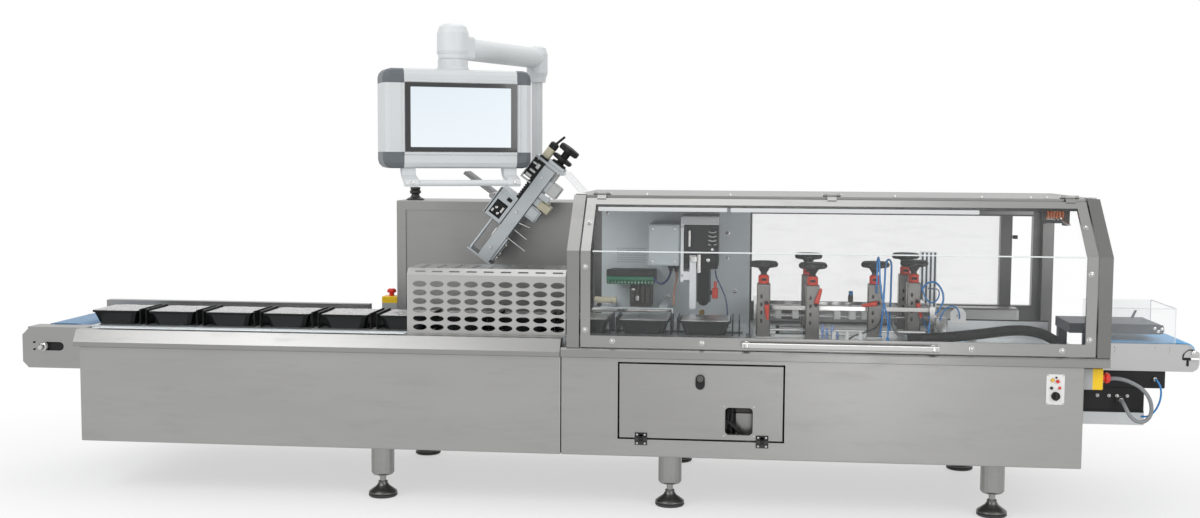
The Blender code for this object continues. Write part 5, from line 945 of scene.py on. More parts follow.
def make_units_trim():
    """Screws, the glue box lid, terminal block, valves, cable glands and brackets on the back plate's
    units.
    """
    piece("wall_screws", dome_heads([(0.6067, 0.75, 1.0066), (0.64, 0.75, 0.76), (0.095, 0.75, 1.085),
                                     (0.3568, 0.75, 0.733), (0.095, 0.75, 0.68)], FRONT, 0.018), "fastener")
    corners = [(0.308, 0.48, 1.035), (0.3985, 0.48, 1.035), (0.308, 0.48, 0.905), (0.3985, 0.48, 0.905)]
    piece("glue_box_screws", socket_heads(corners, FRONT, 0.011), "fastener")
    lid = [face_plate(0.118, 0.158, 0.01, 5, (0.353, 0.97), y=0.4798, depth=0.0022)]
    piece("glue_box_lid", lid, "glue", bevel=0.0008)
    teeth = []
    for k in range(14):
        x = 0.1175 + 0.0138 * k
        teeth.append(cushion_box((x, 0.546, 0.8025), (x + 0.0108, 0.5595, 0.819), 0.002))
    teeth.append(cushion_box((0.1135, 0.5505, 0.8195), (0.3085, 0.5597, 0.834), 0.002))
    piece("terminal_block", teeth, "green")
    pins = [lathe(((0.0026, 0.0), (0.003, 0.001), (0.002, 0.0022), (0.0008, 0.0022)),
                  (0.1229 + 0.0138 * k, 0.546, 0.8105), FRONT, 10) for k in range(14)]
    piece("terminal_pins", pins, "fastener")
    ridge = [cushion_box((0.1135, 0.549, 0.8345), (0.3085, 0.6, 0.861), 0.002)]
    piece("terminal_cover", ridge, "soft_black")
    valves = []
    for k in range(4):
        x = 0.2085 + 0.0208 * k
        valves.append(cushion_box((x, 0.604, 0.722), (x + 0.0172, 0.6195, 0.792), 0.003))
        valves.append(lathe(((0.005, 0.0), (0.006, 0.001), (0.006, 0.008), (0.003, 0.01)),
                            (x + 0.0086, 0.604, 0.748), FRONT, 12))
    piece("valve_row", valves, "rack")
    shine = [cushion_box((0.23, 0.592, 0.73), (0.246, 0.6035, 0.752), 0.003),
             lathe(((0.006, 0.0), (0.007, 0.001), (0.007, 0.02), (0.004, 0.022)), (0.222, 0.6, 0.778),
                   FRONT, 14)]
    piece("valve_fitting", shine, "fastener")
    cylinder = lathe(((0.01, 0.0), (0.0135, 0.002), (0.0145, 0.006), (0.0145, 0.018), (0.013, 0.02),
                      (0.013, 0.074), (0.0145, 0.076), (0.0145, 0.088), (0.01, 0.09)),
                     (0.0735, 0.47, 0.745), (1, 0, 0), 24)
    piece("cream_cylinder", [cylinder], "cream")
    hanger = boxes(((0.0735, 0.462, 0.7205), (0.0835, 0.478, 0.745), 0.002),
                   ((0.15, 0.462, 0.7205), (0.159, 0.478, 0.745), 0.002))
    piece("cylinder_feet", hanger, "aluminium")
    gland = [lathe(((0.011, 0.0), (0.012, 0.002), (0.012, 0.012), (0.008, 0.018), (0.007, 0.028)),
                   (x, 0.56, 0.8853), (0, 0, -1), 16) for x in (0.378, 0.4)]
    piece("glue_box_glands", gland, "soft_black")


def make_feed_trim():
    """Hood rim, drive face with its pale ribs, belt column cheeks, clamp and the brass fitting."""
    rim = [face_plate(0.15, 0.03, 0.006, 4, (0.497, 1.07), y=0.4698, depth=0.0024),
           cushion_box((0.424, 0.474, 1.0862), (0.57, 0.7, 1.0892), 0.004)]
    piece("feed_hood_rim", rim, "light_box", slot="pale_grey", bevel=0.0006)
    heads = dome_heads([(0.4275, 0.4698, 1.045), (0.4275, 0.4698, 0.85), (0.6067, 0.75, 0.9)], FRONT, 0.012)
    piece("feed_screws", heads, "fastener")
    arcs = []
    for k in range(5):
        z = 1.028 - 0.017 * k
        t = np.linspace(-0.9, 0.9, 12)
        path = np.stack([0.548 + 0.02 * np.sin(t), np.full(12, 0.479), z - 0.006 * np.cos(t * 1.5)], axis=1)
        arcs.append(tube(path, 0.0024, 8))
    piece("drive_cooling_ribs", arcs, "milky", angle=60)
    bits = boxes(((0.452, 0.4725, 0.965), (0.461, 0.4815, 1.03), 0.002), ((0.462, 0.465, 0.905),
            (0.487, 0.4725, 0.926), 0.002), ((0.488, 0.466, 0.86), (0.503, 0.4815, 0.935), 0.003))
    piece("drive_brackets", bits, "fastener", slot="aluminium")
    wheels = [lathe(((0.01, 0.0), (0.026, 0.001), (0.028, 0.004), (0.028, 0.01), (0.022, 0.012),
                     (0.006, 0.014)), (0.532, 0.4815, 0.912), FRONT, 28),
              lathe(((0.008, 0.0), (0.018, 0.001), (0.019, 0.009), (0.006, 0.011)), (0.548, 0.4815, 0.955),
                    FRONT, 24)]
    piece("drive_wheels", wheels, "black")
    hub = [lathe(((0.006, 0.0), (0.0075, 0.001), (0.0075, 0.006), (0.003, 0.008)), (0.532, 0.4675, 0.912),
                 FRONT, 16), lathe(((0.004, 0.0), (0.0055, 0.001), (0.0055, 0.005), (0.002, 0.006)),
                                   (0.548, 0.4705, 0.955), FRONT, 16)]
    piece("drive_hubs", hub, "fastener")
    cheeks = boxes(((0.4845, 0.527, 0.735), (0.4895, 0.583, 0.874), 0.002),
                   ((0.5365, 0.527, 0.735), (0.5415, 0.583, 0.874), 0.002))
    piece("belt_column_cheeks", cheeks, "dark_aluminium")
    clip = boxes(((0.549, 0.47, 0.757), (0.573, 0.486, 0.8), 0.005),
                 ((0.556, 0.473, 0.8), (0.568, 0.483, 0.826), 0.003))
    piece("feed_red_clamp", clip, "red")
    stem = [cushion_box((0.542, 0.486, 0.77), (0.569, 0.53, 0.786), 0.003)]
    piece("feed_clamp_arm", stem, "black")
    fitting = [lathe(((0.008, 0.0), (0.011, 0.001), (0.011, 0.014), (0.0095, 0.016), (0.0095, 0.046),
                      (0.011, 0.048), (0.011, 0.06), (0.006, 0.064)), (0.51, 0.436, 0.6508), (0, 0, 1), 20,
                     6, 0.06)]
    piece("brass_fitting", fitting, "brass")
    base = [cushion_box((0.492, 0.424, 0.6503), (0.528, 0.448, 0.659), 0.003)]
    piece("fitting_base", base, "dark_aluminium")


def make_adjuster_trim():
    """Lobed knob covers, collar windows, painted shade in the posts' slots, clamp levers and foot plates of
    the six adjusters.
    """
    knobs = []
    windows = []
    slots = []
    levers = []
    bosses = []
    feet = []
    for (x, y, rise), turn in zip(ADJUSTERS, LEVER_TURNS):
        top = POST_TOP + rise
        knobs.append(lathe(((0.03, 0.0), (0.0505, 0.001), (0.0555, 0.006), (0.0562, 0.013), (0.052, 0.0195),
                            (0.03, 0.0225), (0.012, 0.0205), (0.004, 0.0205)), (x, y, top + 0.064),
                           sides=60, lobes=7, depth=0.1))
        windows.append(face_plate(0.02, 0.01, 0.002, 3, (x, top + 0.016), y=y - 0.0208, depth=0.0012))
        face = y - 0.0263
        # Thin black plates on the post's face where its slots are: painted shade in the slots.
        for z in (0.69, 0.722, 0.754, 0.786):
            slots.append(face_plate(0.009, 0.016, 0.0044, 5, (x - 0.008, z), y=face, depth=0.0006))
        t = radians(turn)
        along = np.array([np.sin(t), 0.0, -np.cos(t)])
        hub = np.array([x + 0.012, face - 0.014, 0.762])
        path = hub + np.linspace(-0.008, 0.066, 9)[:, None] * along
        levers.append(tube(path, np.array([0.004, 0.0085, 0.01, 0.0095, 0.0085, 0.0078, 0.0072, 0.0066,
                                           0.004]), 14))
        bosses.append(lathe(((0.007, 0.0), (0.0075, 0.001), (0.0075, 0.023), (0.005, 0.026)),
                            (hub[0], face, hub[2]), FRONT, 16))
        feet.append(cushion_box((x - 0.034, y - 0.034, TABLE_TOP + 0.0004),
                                (x + 0.034, y - 0.0264, TABLE_TOP + 0.01), 0.002))
        feet.append(cushion_box((x + 0.0264, y - 0.0262, TABLE_TOP + 0.0004),
                                (x + 0.034, y + 0.034, TABLE_TOP + 0.01), 0.002))
    piece("adjuster_knob_covers", knobs, "soft_black", angle=50)
    piece("collar_windows", windows, "black")
    piece("post_slot_painted_shade", slots, "black")
    piece("clamp_levers", levers, "red", angle=60)
    piece("clamp_bosses", bosses, "black")
    piece("adjuster_feet", feet, "fastener")


def make_table_trim():
    """Guides, slides, clamps and the tag plate on the folding table."""
    guides = boxes(((0.725, 0.418, 0.7225), (1.415, 0.4235, 0.7405), 0.002),
                   ((0.725, 0.6, 0.7255), (1.25, 0.6055, 0.74), 0.002),
                   ((0.78, 0.355, 0.6205), (1.13, 0.361, 0.634), 0.002),
                   ((0.8, 0.18, 0.6205), (1.12, 0.188, 0.6275), 0.002))
    piece("table_guides", guides, "polished")
    blocks = []
    for x in (0.8, 0.868, 1.03, 1.09, 1.14):
        blocks.append(cushion_box((x, 0.405, 0.69), (x + 0.026, 0.45, 0.722), 0.003))
    for x in (1.01, 1.06, 1.11):
        blocks.append(cushion_box((x, 0.19, 0.6205), (x + 0.014, 0.204, 0.668), 0.003))
    piece("slide_blocks", blocks, "milky")
    dark = boxes(((0.83, 0.56, 0.668), (0.905, 0.59, 0.712), 0.003),
                 ((1.42, 0.26, 0.6205), (1.455, 0.3, 0.65), 0.003),
                 ((1.1, 0.602, 0.736), (1.12, 0.62, 0.766), 0.003))
    piece("slide_sensors", dark, "rack")
    neck = smooth_path(((1.118, 0.61, 0.7), (1.116, 0.61, 0.712), (1.106, 0.61, 0.724),
                        (1.108, 0.61, 0.738)), 20)
    base = lathe(((0.01, 0.0), (0.012, 0.001), (0.012, 0.01), (0.005, 0.012)), (1.118, 0.61, 0.69),
                 sides=16)
    piece("sensor_neck", [tube(neck, 0.0024, 8), base], "soft_black", angle=60)
    caps = [lathe(((0.004, 0.0), (0.009, 0.001), (0.009, 0.016), (0.005, 0.018)), (1.111, 0.611, 0.7655),
                  sides=16)]
    piece("sensor_cap", caps, "blue_tube")
    stems = [lathe(((0.0035, 0.0), (0.006, 0.001), (0.006, 0.01), (0.0038, 0.013), (0.0038, h * 0.55),
                    (0.0062, h * 0.6), (0.0062, h * 0.74), (0.004, h * 0.8), (0.004, h),
                    (0.002, h + 0.001)), (x, y, TABLE_TOP + 0.0004), sides=14) for x, y,
             h in ((0.977, 0.23, 0.07), (0.993, 0.222, 0.056), (1.013, 0.226, 0.068), (1.034, 0.23, 0.042))]
    piece("flow_fittings", stems, "pale_blue")
    # Small dark spots in a staggered grid on the back plate: painted shade in its perforation holes.
    spots = [prism(rounded(0.0042, 0.0042, 0.002, 3, (0.14 + 0.0105 * i + 0.0052 * (j % 2),
                                                      0.879 + 0.0096 * j)), (0, 0.7498, 0), (1, 0, 0),
                   (0, 0, 1), 0.0006) for i in range(12) for j in range(7)]
    piece("wall_perforation_painted_shade", spots, "rack")
    rail = boxes(((0.07, 0.395, 0.706), (0.392, 0.407, 0.718), 0.002),
                 ((0.386, 0.395, 0.6505), (0.392, 0.407, 0.7056), 0.002),
                 ((0.07, 0.395, 0.6505), (0.076, 0.407, 0.7056), 0.002))
    piece("tray_cover_rail", rail, "polished")
    ends = [lathe(((0.0168, 0.0), (0.0176, 0.001), (0.0176, 0.013), (0.0168, 0.014)), (x, 0.486, 0.635),
                  (1, 0, 0), 20) for x in (0.8055, 0.9145)]
    piece("cylinder_caps", ends, "black")
    tag = [prism(((-0.03, -0.03), (0.03, -0.03), (0.03, 0.012), (0.014, 0.03), (-0.014, 0.03),
                  (-0.03, 0.012)), (1.516, 0.449, 0.708), (1, 0, 0), (0, 0, 1), 0.004)]
    piece("guide_cheek", tag, "white", bevel=0.001)
    piece("guide_cheek_screw", socket_heads([(1.5132, 0.4448, 0.7086)], FRONT, 0.009), "fastener")
    edge = [cushion_box((1.478, 0.4485, 0.6895), (1.861, 0.4555, 0.6945), 0.001)]
    piece("divider_edge", edge, "black")
    legs = [cushion_box((x, 0.4545, 0.6205), (x + 0.012, 0.47, 0.66), 0.002) for x in (1.52, 1.66, 1.8)]
    piece("divider_feet", legs, "fastener")
    rib = []
    for k in range(4):
        x = 1.4105 + 0.017 * k
        rib.append(cushion_box((x, 0.7568, 0.64), (x + 0.008, 0.7598, PROFILE_TOP - 0.001), 0.001))
    piece("profile_ribs", rib, "dark_aluminium")
    sill = [cushion_box((1.765, 0.905, 0.6205), (1.781, 0.921, 0.676), 0.004),
            cushion_box((0.73, 0.84, 0.6205), (1.83, 0.93, 0.696), 0.014, 5)]
    piece("back_trough", sill, "cabinet")


def make_pneumatics():
    """Blue air tubes, dark cables and the grey hose round the folding section, each with its fitting."""
    cord_piece("air_tube_1", ((1.208, 0.3635, 0.64), (1.214, 0.356, 0.72), (1.218, 0.355, 0.8),
                              (1.22, 0.355, 0.86), (1.221, 0.356, 0.897), (1.2254, 0.3648, 0.9207),
                              (1.236, 0.386, 0.9305), (1.2466, 0.4072, 0.9207), (1.251, 0.416, 0.897),
                              (1.2515, 0.424, 0.84), (1.2515, 0.428, 0.78), (1.25, 0.43, 0.72),
                              (1.249, 0.43, 0.6575)), 0.008, "blue_tube", 74)
    cord_piece("air_tube_2", ((1.3725, 0.47, 0.8), (1.395, 0.462, 0.832), (1.425, 0.45, 0.838),
                              (1.45, 0.44, 0.808), (1.455, 0.43, 0.77), (1.44, 0.422, 0.735),
                              (1.42, 0.415, 0.715), (1.404, 0.405, 0.69), (1.398, 0.398, 0.66),
                              (1.397, 0.396, 0.6215)), 0.008, "blue_tube", 60)
    cord_piece("air_tube_3", ((1.4425, 0.42, 0.69), (1.447, 0.408, 0.715), (1.464, 0.402, 0.742),
                              (1.488, 0.406, 0.75), (1.508, 0.418, 0.738), (1.519, 0.434, 0.714),
                              (1.521, 0.447, 0.696)), 0.006, "blue_tube", 44)
    cord_piece("air_tube_4", ((1.372, 0.505, 0.72), (1.385, 0.48, 0.69), (1.4, 0.45, 0.652),
                              (1.43, 0.42, 0.634), (1.47, 0.395, 0.6285), (1.51, 0.38, 0.6265),
                              (1.54, 0.376, 0.626)), 0.007, "blue_tube", 46)
    cord_piece("air_tube_5", ((1.19, 0.3645, 0.8), (1.1885, 0.344, 0.808), (1.1872, 0.331, 0.835),
                              (1.187, 0.328, 0.875), (1.187, 0.328, 0.915), (1.1875, 0.3192, 0.9362),
                              (1.188, 0.298, 0.945), (1.189, 0.2768, 0.9362), (1.19, 0.268, 0.915),
                              (1.194, 0.266, 0.85), (1.204, 0.267, 0.79), (1.219, 0.274, 0.735),
                              (1.2285, 0.288, 0.68), (1.23, 0.3, 0.63)), 0.007, "blue_tube", 80)
    cord_piece("air_tube_6", ((1.3715, 0.465, 0.829), (1.379, 0.462, 0.806), (1.39, 0.458, 0.776),
                              (1.41, 0.455, 0.757), (1.432, 0.456, 0.766), (1.444, 0.47, 0.786),
                              (1.448, 0.52, 0.8), (1.444, 0.6, 0.8), (1.442, 0.68, 0.79),
                              (1.44, 0.757, 0.785)), 0.006, "blue_tube", 60)
    cord_piece("sensor_cable", ((1.2115, 0.408, 0.8), (1.219, 0.395, 0.76), (1.214, 0.38, 0.715),
                                (1.195, 0.34, 0.675), (1.15, 0.31, 0.655), (1.11, 0.29, 0.645),
                                (1.085, 0.28, 0.632), (1.08, 0.27, 0.6235)), 0.006, "soft_black", 54)
    cord_piece("grey_hose", ((1.118, 0.24, 0.6265), (1.15, 0.212, 0.6265), (1.2, 0.2, 0.6265),
                             (1.26, 0.206, 0.6265), (1.305, 0.24, 0.6265), (1.31, 0.3, 0.6265),
                             (1.296, 0.36, 0.6275), (1.275, 0.42, 0.64), (1.262, 0.45, 0.672)), 0.012,
               "grey_hose", 50)
    cord_piece("navy_cable", ((0.3095, 0.5515, 0.83), (0.322, 0.538, 0.815), (0.338, 0.53, 0.808),
                              (0.356, 0.532, 0.815), (0.37, 0.545, 0.832), (0.378, 0.558, 0.8565)), 0.009,
               "navy", 40)
    cord_piece("copper_tube", ((0.4, 0.56, 0.8565), (0.402, 0.548, 0.826), (0.396, 0.535, 0.79),
                               (0.392, 0.525, 0.752), (0.3935, 0.52, 0.735), (0.392, 0.518, 0.721)), 0.008,
               "copper", 36)
    cord_piece("feed_cable", ((0.5615, 0.4785, 0.87), (0.566, 0.462, 0.845), (0.584, 0.44, 0.81),
                              (0.602, 0.425, 0.77), (0.61, 0.415, 0.73), (0.612, 0.41, 0.7),
                              (0.608, 0.405, 0.6555)), 0.006, "navy", 44)
    fittings = [lathe(((0.005, 0.0), (0.007, 0.001), (0.007, 0.012), (0.0045, 0.015)), place, direction, 14)
                for place, direction in (((1.208, 0.3636, 0.6205), (0, 0, 1)),
                                         ((1.249, 0.43, 0.648), (0, 0, 1)),
                                         ((1.3965, 0.396, 0.6205), (0, 0, 1)),
                                         ((1.397, 0.42, 0.7), (1, -0.2, 0.3)),
                                         ((1.542, 0.376, 0.626), (-1, 0, 0)),
                                         ((1.23, 0.3, 0.6205), (0, 0, 1)),
                                         ((0.608, 0.405, 0.6505), (0, 0, 1)))]
    piece("tube_fittings", fittings, "blue_tube")
    plate = boxes(((1.38, 0.365, 0.6205), (1.42, 0.42, 0.63), 0.003),
                  ((1.54, 0.36, 0.6205), (1.575, 0.395, 0.64), 0.003),
                  ((1.425, 0.42, 0.6205), (1.47, 0.446, 0.7), 0.004),
                  ((0.592, 0.39, 0.65), (0.625, 0.42, 0.651), 0.002))
    piece("tube_blocks", plate, "fastener", slot="aluminium")


def make_roof_coil():
    """The coiled air line under the roof: a helix about a level axis with a lead up at each end."""
    t = np.linspace(np.pi, 12 * np.pi, 112)
    s = (t - t[0]) / (t[-1] - t[0])
    path = np.stack([1.812 + 0.06 * s, 0.3 + 0.021 * np.cos(t), 1.124 + 0.021 * np.sin(t)], axis=1)
    rise = np.linspace(0.041, 0.0065, 7)[:, None] * (0, 0, 1)
    path = np.vstack([path[0] + rise, path, path[-1] + rise[::-1]])
    lay_cord("coiled_air_line", path, 0.007, "orange", lay="coiled")
    holders = boxes(((1.8, 0.308, 1.08), (1.811, 0.332, 1.1735), 0.002),
                    ((1.8735, 0.296, 1.074), (1.896, 0.332, 1.1735), 0.003))
    piece("coil_holders", holders, "rack")
    bar = lathe(((0.004, 0.0), (0.006, 0.001), (0.006, 0.0605), (0.004, 0.0615)), (1.8112, 0.314, 1.088),
                (1, 0, 0), 16)
    piece("lock_bar", [bar], "dark_aluminium")


# Trays

def make_tray_films():
    """Film over each tray: a height of three crossed sine waves that dies out at the rim, on a grid."""
    columns, rows = 30, 24
    a, b = np.meshgrid(np.linspace(-1, 1, columns), np.linspace(-1, 1, rows))
    edge = (1 - a ** 6) * (1 - b ** 6)
    films = []
    foils = []
    for k in range(TRAY_COUNT):
        wave = (np.sin(5.1 * a + 1.7 * k) * np.cos(4.3 * b + k) + 0.6 * np.sin(9.7 * b + 6.1 * a + 2.3 * k)
                + 0.4 * np.cos(13.0 * a - 8.0 * b + k))
        middle = TRAY_FIRST + k * TRAY_PITCH
        x = middle + 0.0925 * a
        y = TRAY_LINE + 0.1005 * b
        top = BELT_TOP + 0.0545 + edge * (0.0035 + 0.0016 * wave)
        points = np.stack([x, y, top], axis=-1).reshape(-1, 3)
        i, j = np.meshgrid(np.arange(rows - 1), np.arange(columns - 1), indexing="ij")
        n = i * columns + j
        faces = np.stack([n, n + 1, n + columns + 1, n + columns], axis=-1).reshape(-1, 4).tolist()
        (foils if middle > FOILS_FROM else films).append((points, faces))
    for name, group, finish in (("tray_films", films, "film"), ("tray_foils", foils, "foil")):
        item = piece(name, group, finish, slot="tray", angle=180)
        wall = item.modifiers.new("wall", "SOLIDIFY")
        wall.thickness = 0.0004
        wall.offset = 1.0


# Infeed, cabinets and outfeed

def make_infeed_trim():
    """Take-up screw, painted shade in the take-up slot and small screws of the infeed end plates, and a
    strip of painted shade along the bed's front edge.
    """
    shapes = []
    for y, d in ((0.0535, -1), (0.5565, 1)):
        shapes.append(lathe(((0.012, 0.0), (0.0165, 0.001), (0.0165, 0.007), (0.0115, 0.009),
                             (0.0115, 0.026), (0.009, 0.03), (0.003, 0.031)), (TAKE_UP[0], y, TAKE_UP[1]),
                            (0, d, 0), 6))
    piece("take_up_screws", shapes, "fastener")
    small = socket_heads([(-2.098, 0.055, 0.585), (-2.098, 0.055, 0.557)], FRONT, 0.008)
    piece("end_plate_screws", small, "black")
    # A thin black plate in the take-up slot: painted shade in the slot.
    lining = [face_plate(0.108, 0.038, 0.0185, 6, (-2.028, 0.57), y=0.0655, depth=0.002)]
    piece("take_up_slot_painted_shade", lining, "black")
    # A thin black strip along the bed's front edge: painted shade of the gap there.
    strip = [cushion_box((-1.88, 0.121, 0.6402), (-0.01, 0.129, 0.644), 0.001)]
    piece("bed_gap_painted_shade", strip, "black")


def make_cabinet_trim():
    """Control plate with its buttons, the access door with its window, and what shows behind it."""
    plate = [face_plate(0.064, 0.11, 0.004, 4, (1.7945, 0.499), y=-0.0002, depth=0.0028)]
    piece("control_plate", plate, "white", bevel=0.0008)

    def button(x, z, size, height, finish, name):
        """A round button with a rim."""
        r = size / 2
        shape = lathe(((r * 0.9, 0.0), (r, 0.0008), (r, height * 0.7), (r * 0.8, height),
                       (r * 0.2, height)), (x, -0.003, z), FRONT, 20)
        return piece(name, [shape], finish, slot="black_plastic")

    for k, (x, z, size, height, finish) in enumerate((
            (1.7834, 0.5327, 0.014, 0.007, "amber"), (1.8017, 0.5284, 0.013, 0.007, "red"),
            (1.7967, 0.5425, 0.007, 0.004, "black"), (1.7806, 0.5043, 0.011, 0.006, "soft_black"),
            (1.8088, 0.5049, 0.011, 0.006, "red"), (1.7952, 0.4752, 0.031, 0.012, "black")), start=1):
        button(x, z, size, height, finish, f"control_button_{k}")
    bar = [face_plate(0.007, 0.028, 0.003, 3, (1.7952, 0.4752), y=-0.0148, depth=0.009)]
    piece("selector_grip", bar, "soft_black", bevel=0.001)
    corners = [(1.7945 + sx * 0.028, -0.003, 0.499 + sz * 0.051) for sx in (-1, 1) for sz in (-1, 1)]
    piece("control_plate_screws", socket_heads(corners, FRONT, 0.005), "fastener")
    middle = ((WINDOW[0][0] + WINDOW[0][1]) / 2, (WINDOW[1][0] + WINDOW[1][1]) / 2)
    hole = rounded(WINDOW[0][1] - WINDOW[0][0], WINDOW[1][1] - WINDOW[1][0], 0.014, 7, middle)
    sheet = piece("access_door_sheet", [holed_plate(*DOOR, hole, 0.0, DOOR_SHEET)], "access", "access_door",
                  bevel=0.0015)
    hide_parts("access_door")
    ring = np.column_stack([hole[:, 0], np.full(len(hole), 0.011), hole[:, 1]])
    seal = tube(np.vstack([ring, ring[:2]]), 0.0024, 8)
    piece("window_seal", [seal], "soft_black", "access_door", "black_plastic", angle=60)
    slot = face_plate(0.034, 0.054, 0.017, 8, LATCH, y=0.004, depth=0.016)
    piece("access_latch", [slot], "black", "access_door", "black_plastic", bevel=0.0015)
    key = lathe(((0.012, 0.0), (0.0128, 0.001), (0.012, 0.004), (0.0085, 0.0044), (0.0075, 0.003),
                 (0.002, 0.003)), (LATCH[0], -0.0121, LATCH[1] + 0.0135), FRONT, 24)
    piece("access_latch_cap", [key], "foot", "access_door", "black_plastic")
    leaves = []
    moving = []
    fixed = []
    for x in HINGES:
        leaves.append(cushion_box((x - 0.023, -0.005, DOOR_AXIS + 0.009),
                                  (x + 0.023, 0.0004, DOOR_AXIS + 0.023), 0.0015))
        leaves.append(cushion_box((x - 0.007, -0.005, DOOR_AXIS), (x + 0.007, -0.0006, DOOR_AXIS + 0.018),
                                  0.001))
        leaves.append(lathe(((0.007, 0.0), (0.008, 0.0008), (0.008, 0.0132), (0.007, 0.014)),
                            (x - 0.007, -0.008, DOOR_AXIS), (1, 0, 0), 18))
        for d in (-0.0145, 0.0145):
            moving.append((x + d, -0.005, DOOR_AXIS + 0.016))
            fixed.append((x + d, -0.005, DOOR_AXIS - 0.0165))
    piece("access_hinge_leaves", leaves, "black", "access_door", "black_plastic", bevel=0.0005)
    piece("hinge_leaf_screws", dome_heads(moving, FRONT, 0.0075), "fastener", "access_door")
    piece("hinge_seat_screws", dome_heads(fixed, FRONT, 0.0075), "fastener")
    rivets = [(x, 0.0, z) for x in (WINDOW[0][0] - 0.004, WINDOW[0][1] + 0.004)
              for z in (WINDOW[1][0] - 0.004, WINDOW[1][1] + 0.005)]
    piece("window_rivets", dome_heads(rivets, FRONT, 0.006), "fastener", "access_door")
    left, right = WINDOW[0]
    hoses = []
    for points in (((left + 0.026, 0.05, 0.44), (left + 0.026, 0.045, 0.375), (left + 0.02, 0.045, 0.33),
                    (left + 0.022, 0.05, 0.284)),
                   ((left + 0.008, 0.06, 0.42), (left + 0.01, 0.05, 0.36), (left + 0.016, 0.05, 0.33),
                    (left + 0.004, 0.06, 0.284)),
                   ((left - 0.02, 0.05, 0.36), (left + 0.014, 0.036, 0.34), (left + 0.04, 0.036, 0.318),
                    (left + 0.072, 0.044, 0.284))):
        hoses.append(tube(smooth_path(points, 24), 0.0065, 10))
    piece("pocket_hoses", hoses, "soft_black", slot="hose", angle=60)
    box = [cushion_box((left + 0.036, 0.066, 0.2845), (right + 0.06, 0.2495, 0.372), 0.004)]
    piece("pocket_box", box, "frame", slot="pale_grey")
    cover = [cushion_box((left + 0.034, 0.064, 0.3725), (right + 0.064, 0.2495, 0.44), 0.006)]
    piece("pocket_valve_block", cover, "rack")


def make_feet():
    """The domed steel skirt of each levelling foot and the lock nut under its tube."""
    skirts = []
    nuts = []
    for row in ("front", "back"):
        for k in (1, 2, 3):
            low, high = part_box(f"leg_{row}_{k}")
            centre = np.array([(low.x + high.x) / 2, (low.y + high.y) / 2, 0.0]) - ORIGIN * (1, 1, 0)
            skirts.append(lathe(((0.0545, 0.0135), (0.0556, 0.016), (0.054, 0.02), (0.04, 0.03),
                                 (0.025, 0.041), (0.0185, 0.052), (0.0175, 0.06), (0.0125, 0.0612)), centre,
                                sides=36))
            nuts.append(lathe(((0.02, 0.08), (0.0225, 0.0815), (0.0225, 0.0935), (0.02, 0.0948)), centre,
                              sides=6))
    piece("foot_skirts", skirts, "foot", angle=50)
    piece("foot_nuts", nuts, "fastener", angle=25)


def make_outfeed_trim():
    """Screws, painted shade in the slots, end slides of the outfeed plates, the bracket and painted
    highlights along the tunnel's edges.
    """
    places = [(2.0246, 0.095, 0.644), (2.0253, 0.095, 0.6289), (2.168, 0.095, 0.644),
              (2.2172, 0.095, 0.644), (2.218, 0.095, 0.6281)]
    piece("outfeed_screws", socket_heads(places, FRONT, 0.008), "fastener")
    # Dark plates and a dark arc where the end plate's slots are: painted shade in the slots.
    dark = []
    for a, b, z0, z1 in ((2.26, 2.299, 0.6, 0.61), (2.274, 2.283, 0.578, 0.601)):
        dark.append(face_plate(b - a, z1 - z0, 0.0045, 4, ((a + b) / 2, (z0 + z1) / 2), y=0.0948,
                               depth=0.0008))
    t = np.linspace(radians(60), radians(190), 16)
    arc = np.stack([2.2885 + 0.027 * np.cos(t), np.full(16, 0.0947), 0.6085 + 0.03 * np.sin(t)], axis=1)
    dark.append(tube(arc, 0.0026, 8))
    piece("outfeed_slot_painted_shade", dark, "black")
    screws = [lathe(((0.005, 0.0), (0.006, 0.001), (0.006, 0.03), (0.003, 0.032)), (2.286, 0.09, 0.6055),
                    (1, 0, 0), 12), lathe(((0.007, 0.0), (0.0085, 0.001), (0.0085, 0.005), (0.004, 0.007)),
                                          (2.298, 0.0945, 0.628), FRONT, 14)]
    piece("outfeed_take_up", screws, "fastener")
    bracket = [prism(((0.0, 0.0), (0.01, 0.0), (0.0225, 0.029), (0.013, 0.029)), (2.102, 0.2, 0.7395),
                     (1, 0, 0), (0, 0, 1), 0.004)]
    piece("outfeed_bracket", bracket, "dark_aluminium", bevel=0.0006)
    nose = [cushion_box((2.16, 0.136, 0.6895), (2.204, 0.15, 0.721), 0.004)]
    piece("press_end_bracket", nose, "black")
    nuts = [lathe(((0.006, 0.0), (0.007, 0.001), (0.007, 0.006), (0.003, 0.008)), (x, 0.135, z), FRONT, 6)
            for x, z in ((2.17, 0.71), (2.196, 0.708), (2.183, 0.6985))]
    piece("press_nuts", nuts, "fastener")
    # Pale tubes along the tunnel's edges: painted highlights where the clear sheet's edges catch the light.
    end = GUARD_RIGHT + 0.2535
    back = OUTFEED_FRONT + 0.31
    paths = (((end, 0.0975, 0.66), (end, 0.0975, 0.784), (end, 0.101, 0.7875), (end, back - 0.006, 0.7875),
              (end, back - 0.0025, 0.784), (end, back - 0.0025, 0.66)),
             ((1.985, 0.0975, 0.7865), (end, 0.0975, 0.7865)))
    piece("tunnel_edge_highlights", [tube(path, 0.0016, 8) for path in paths], "edge", angle=60)


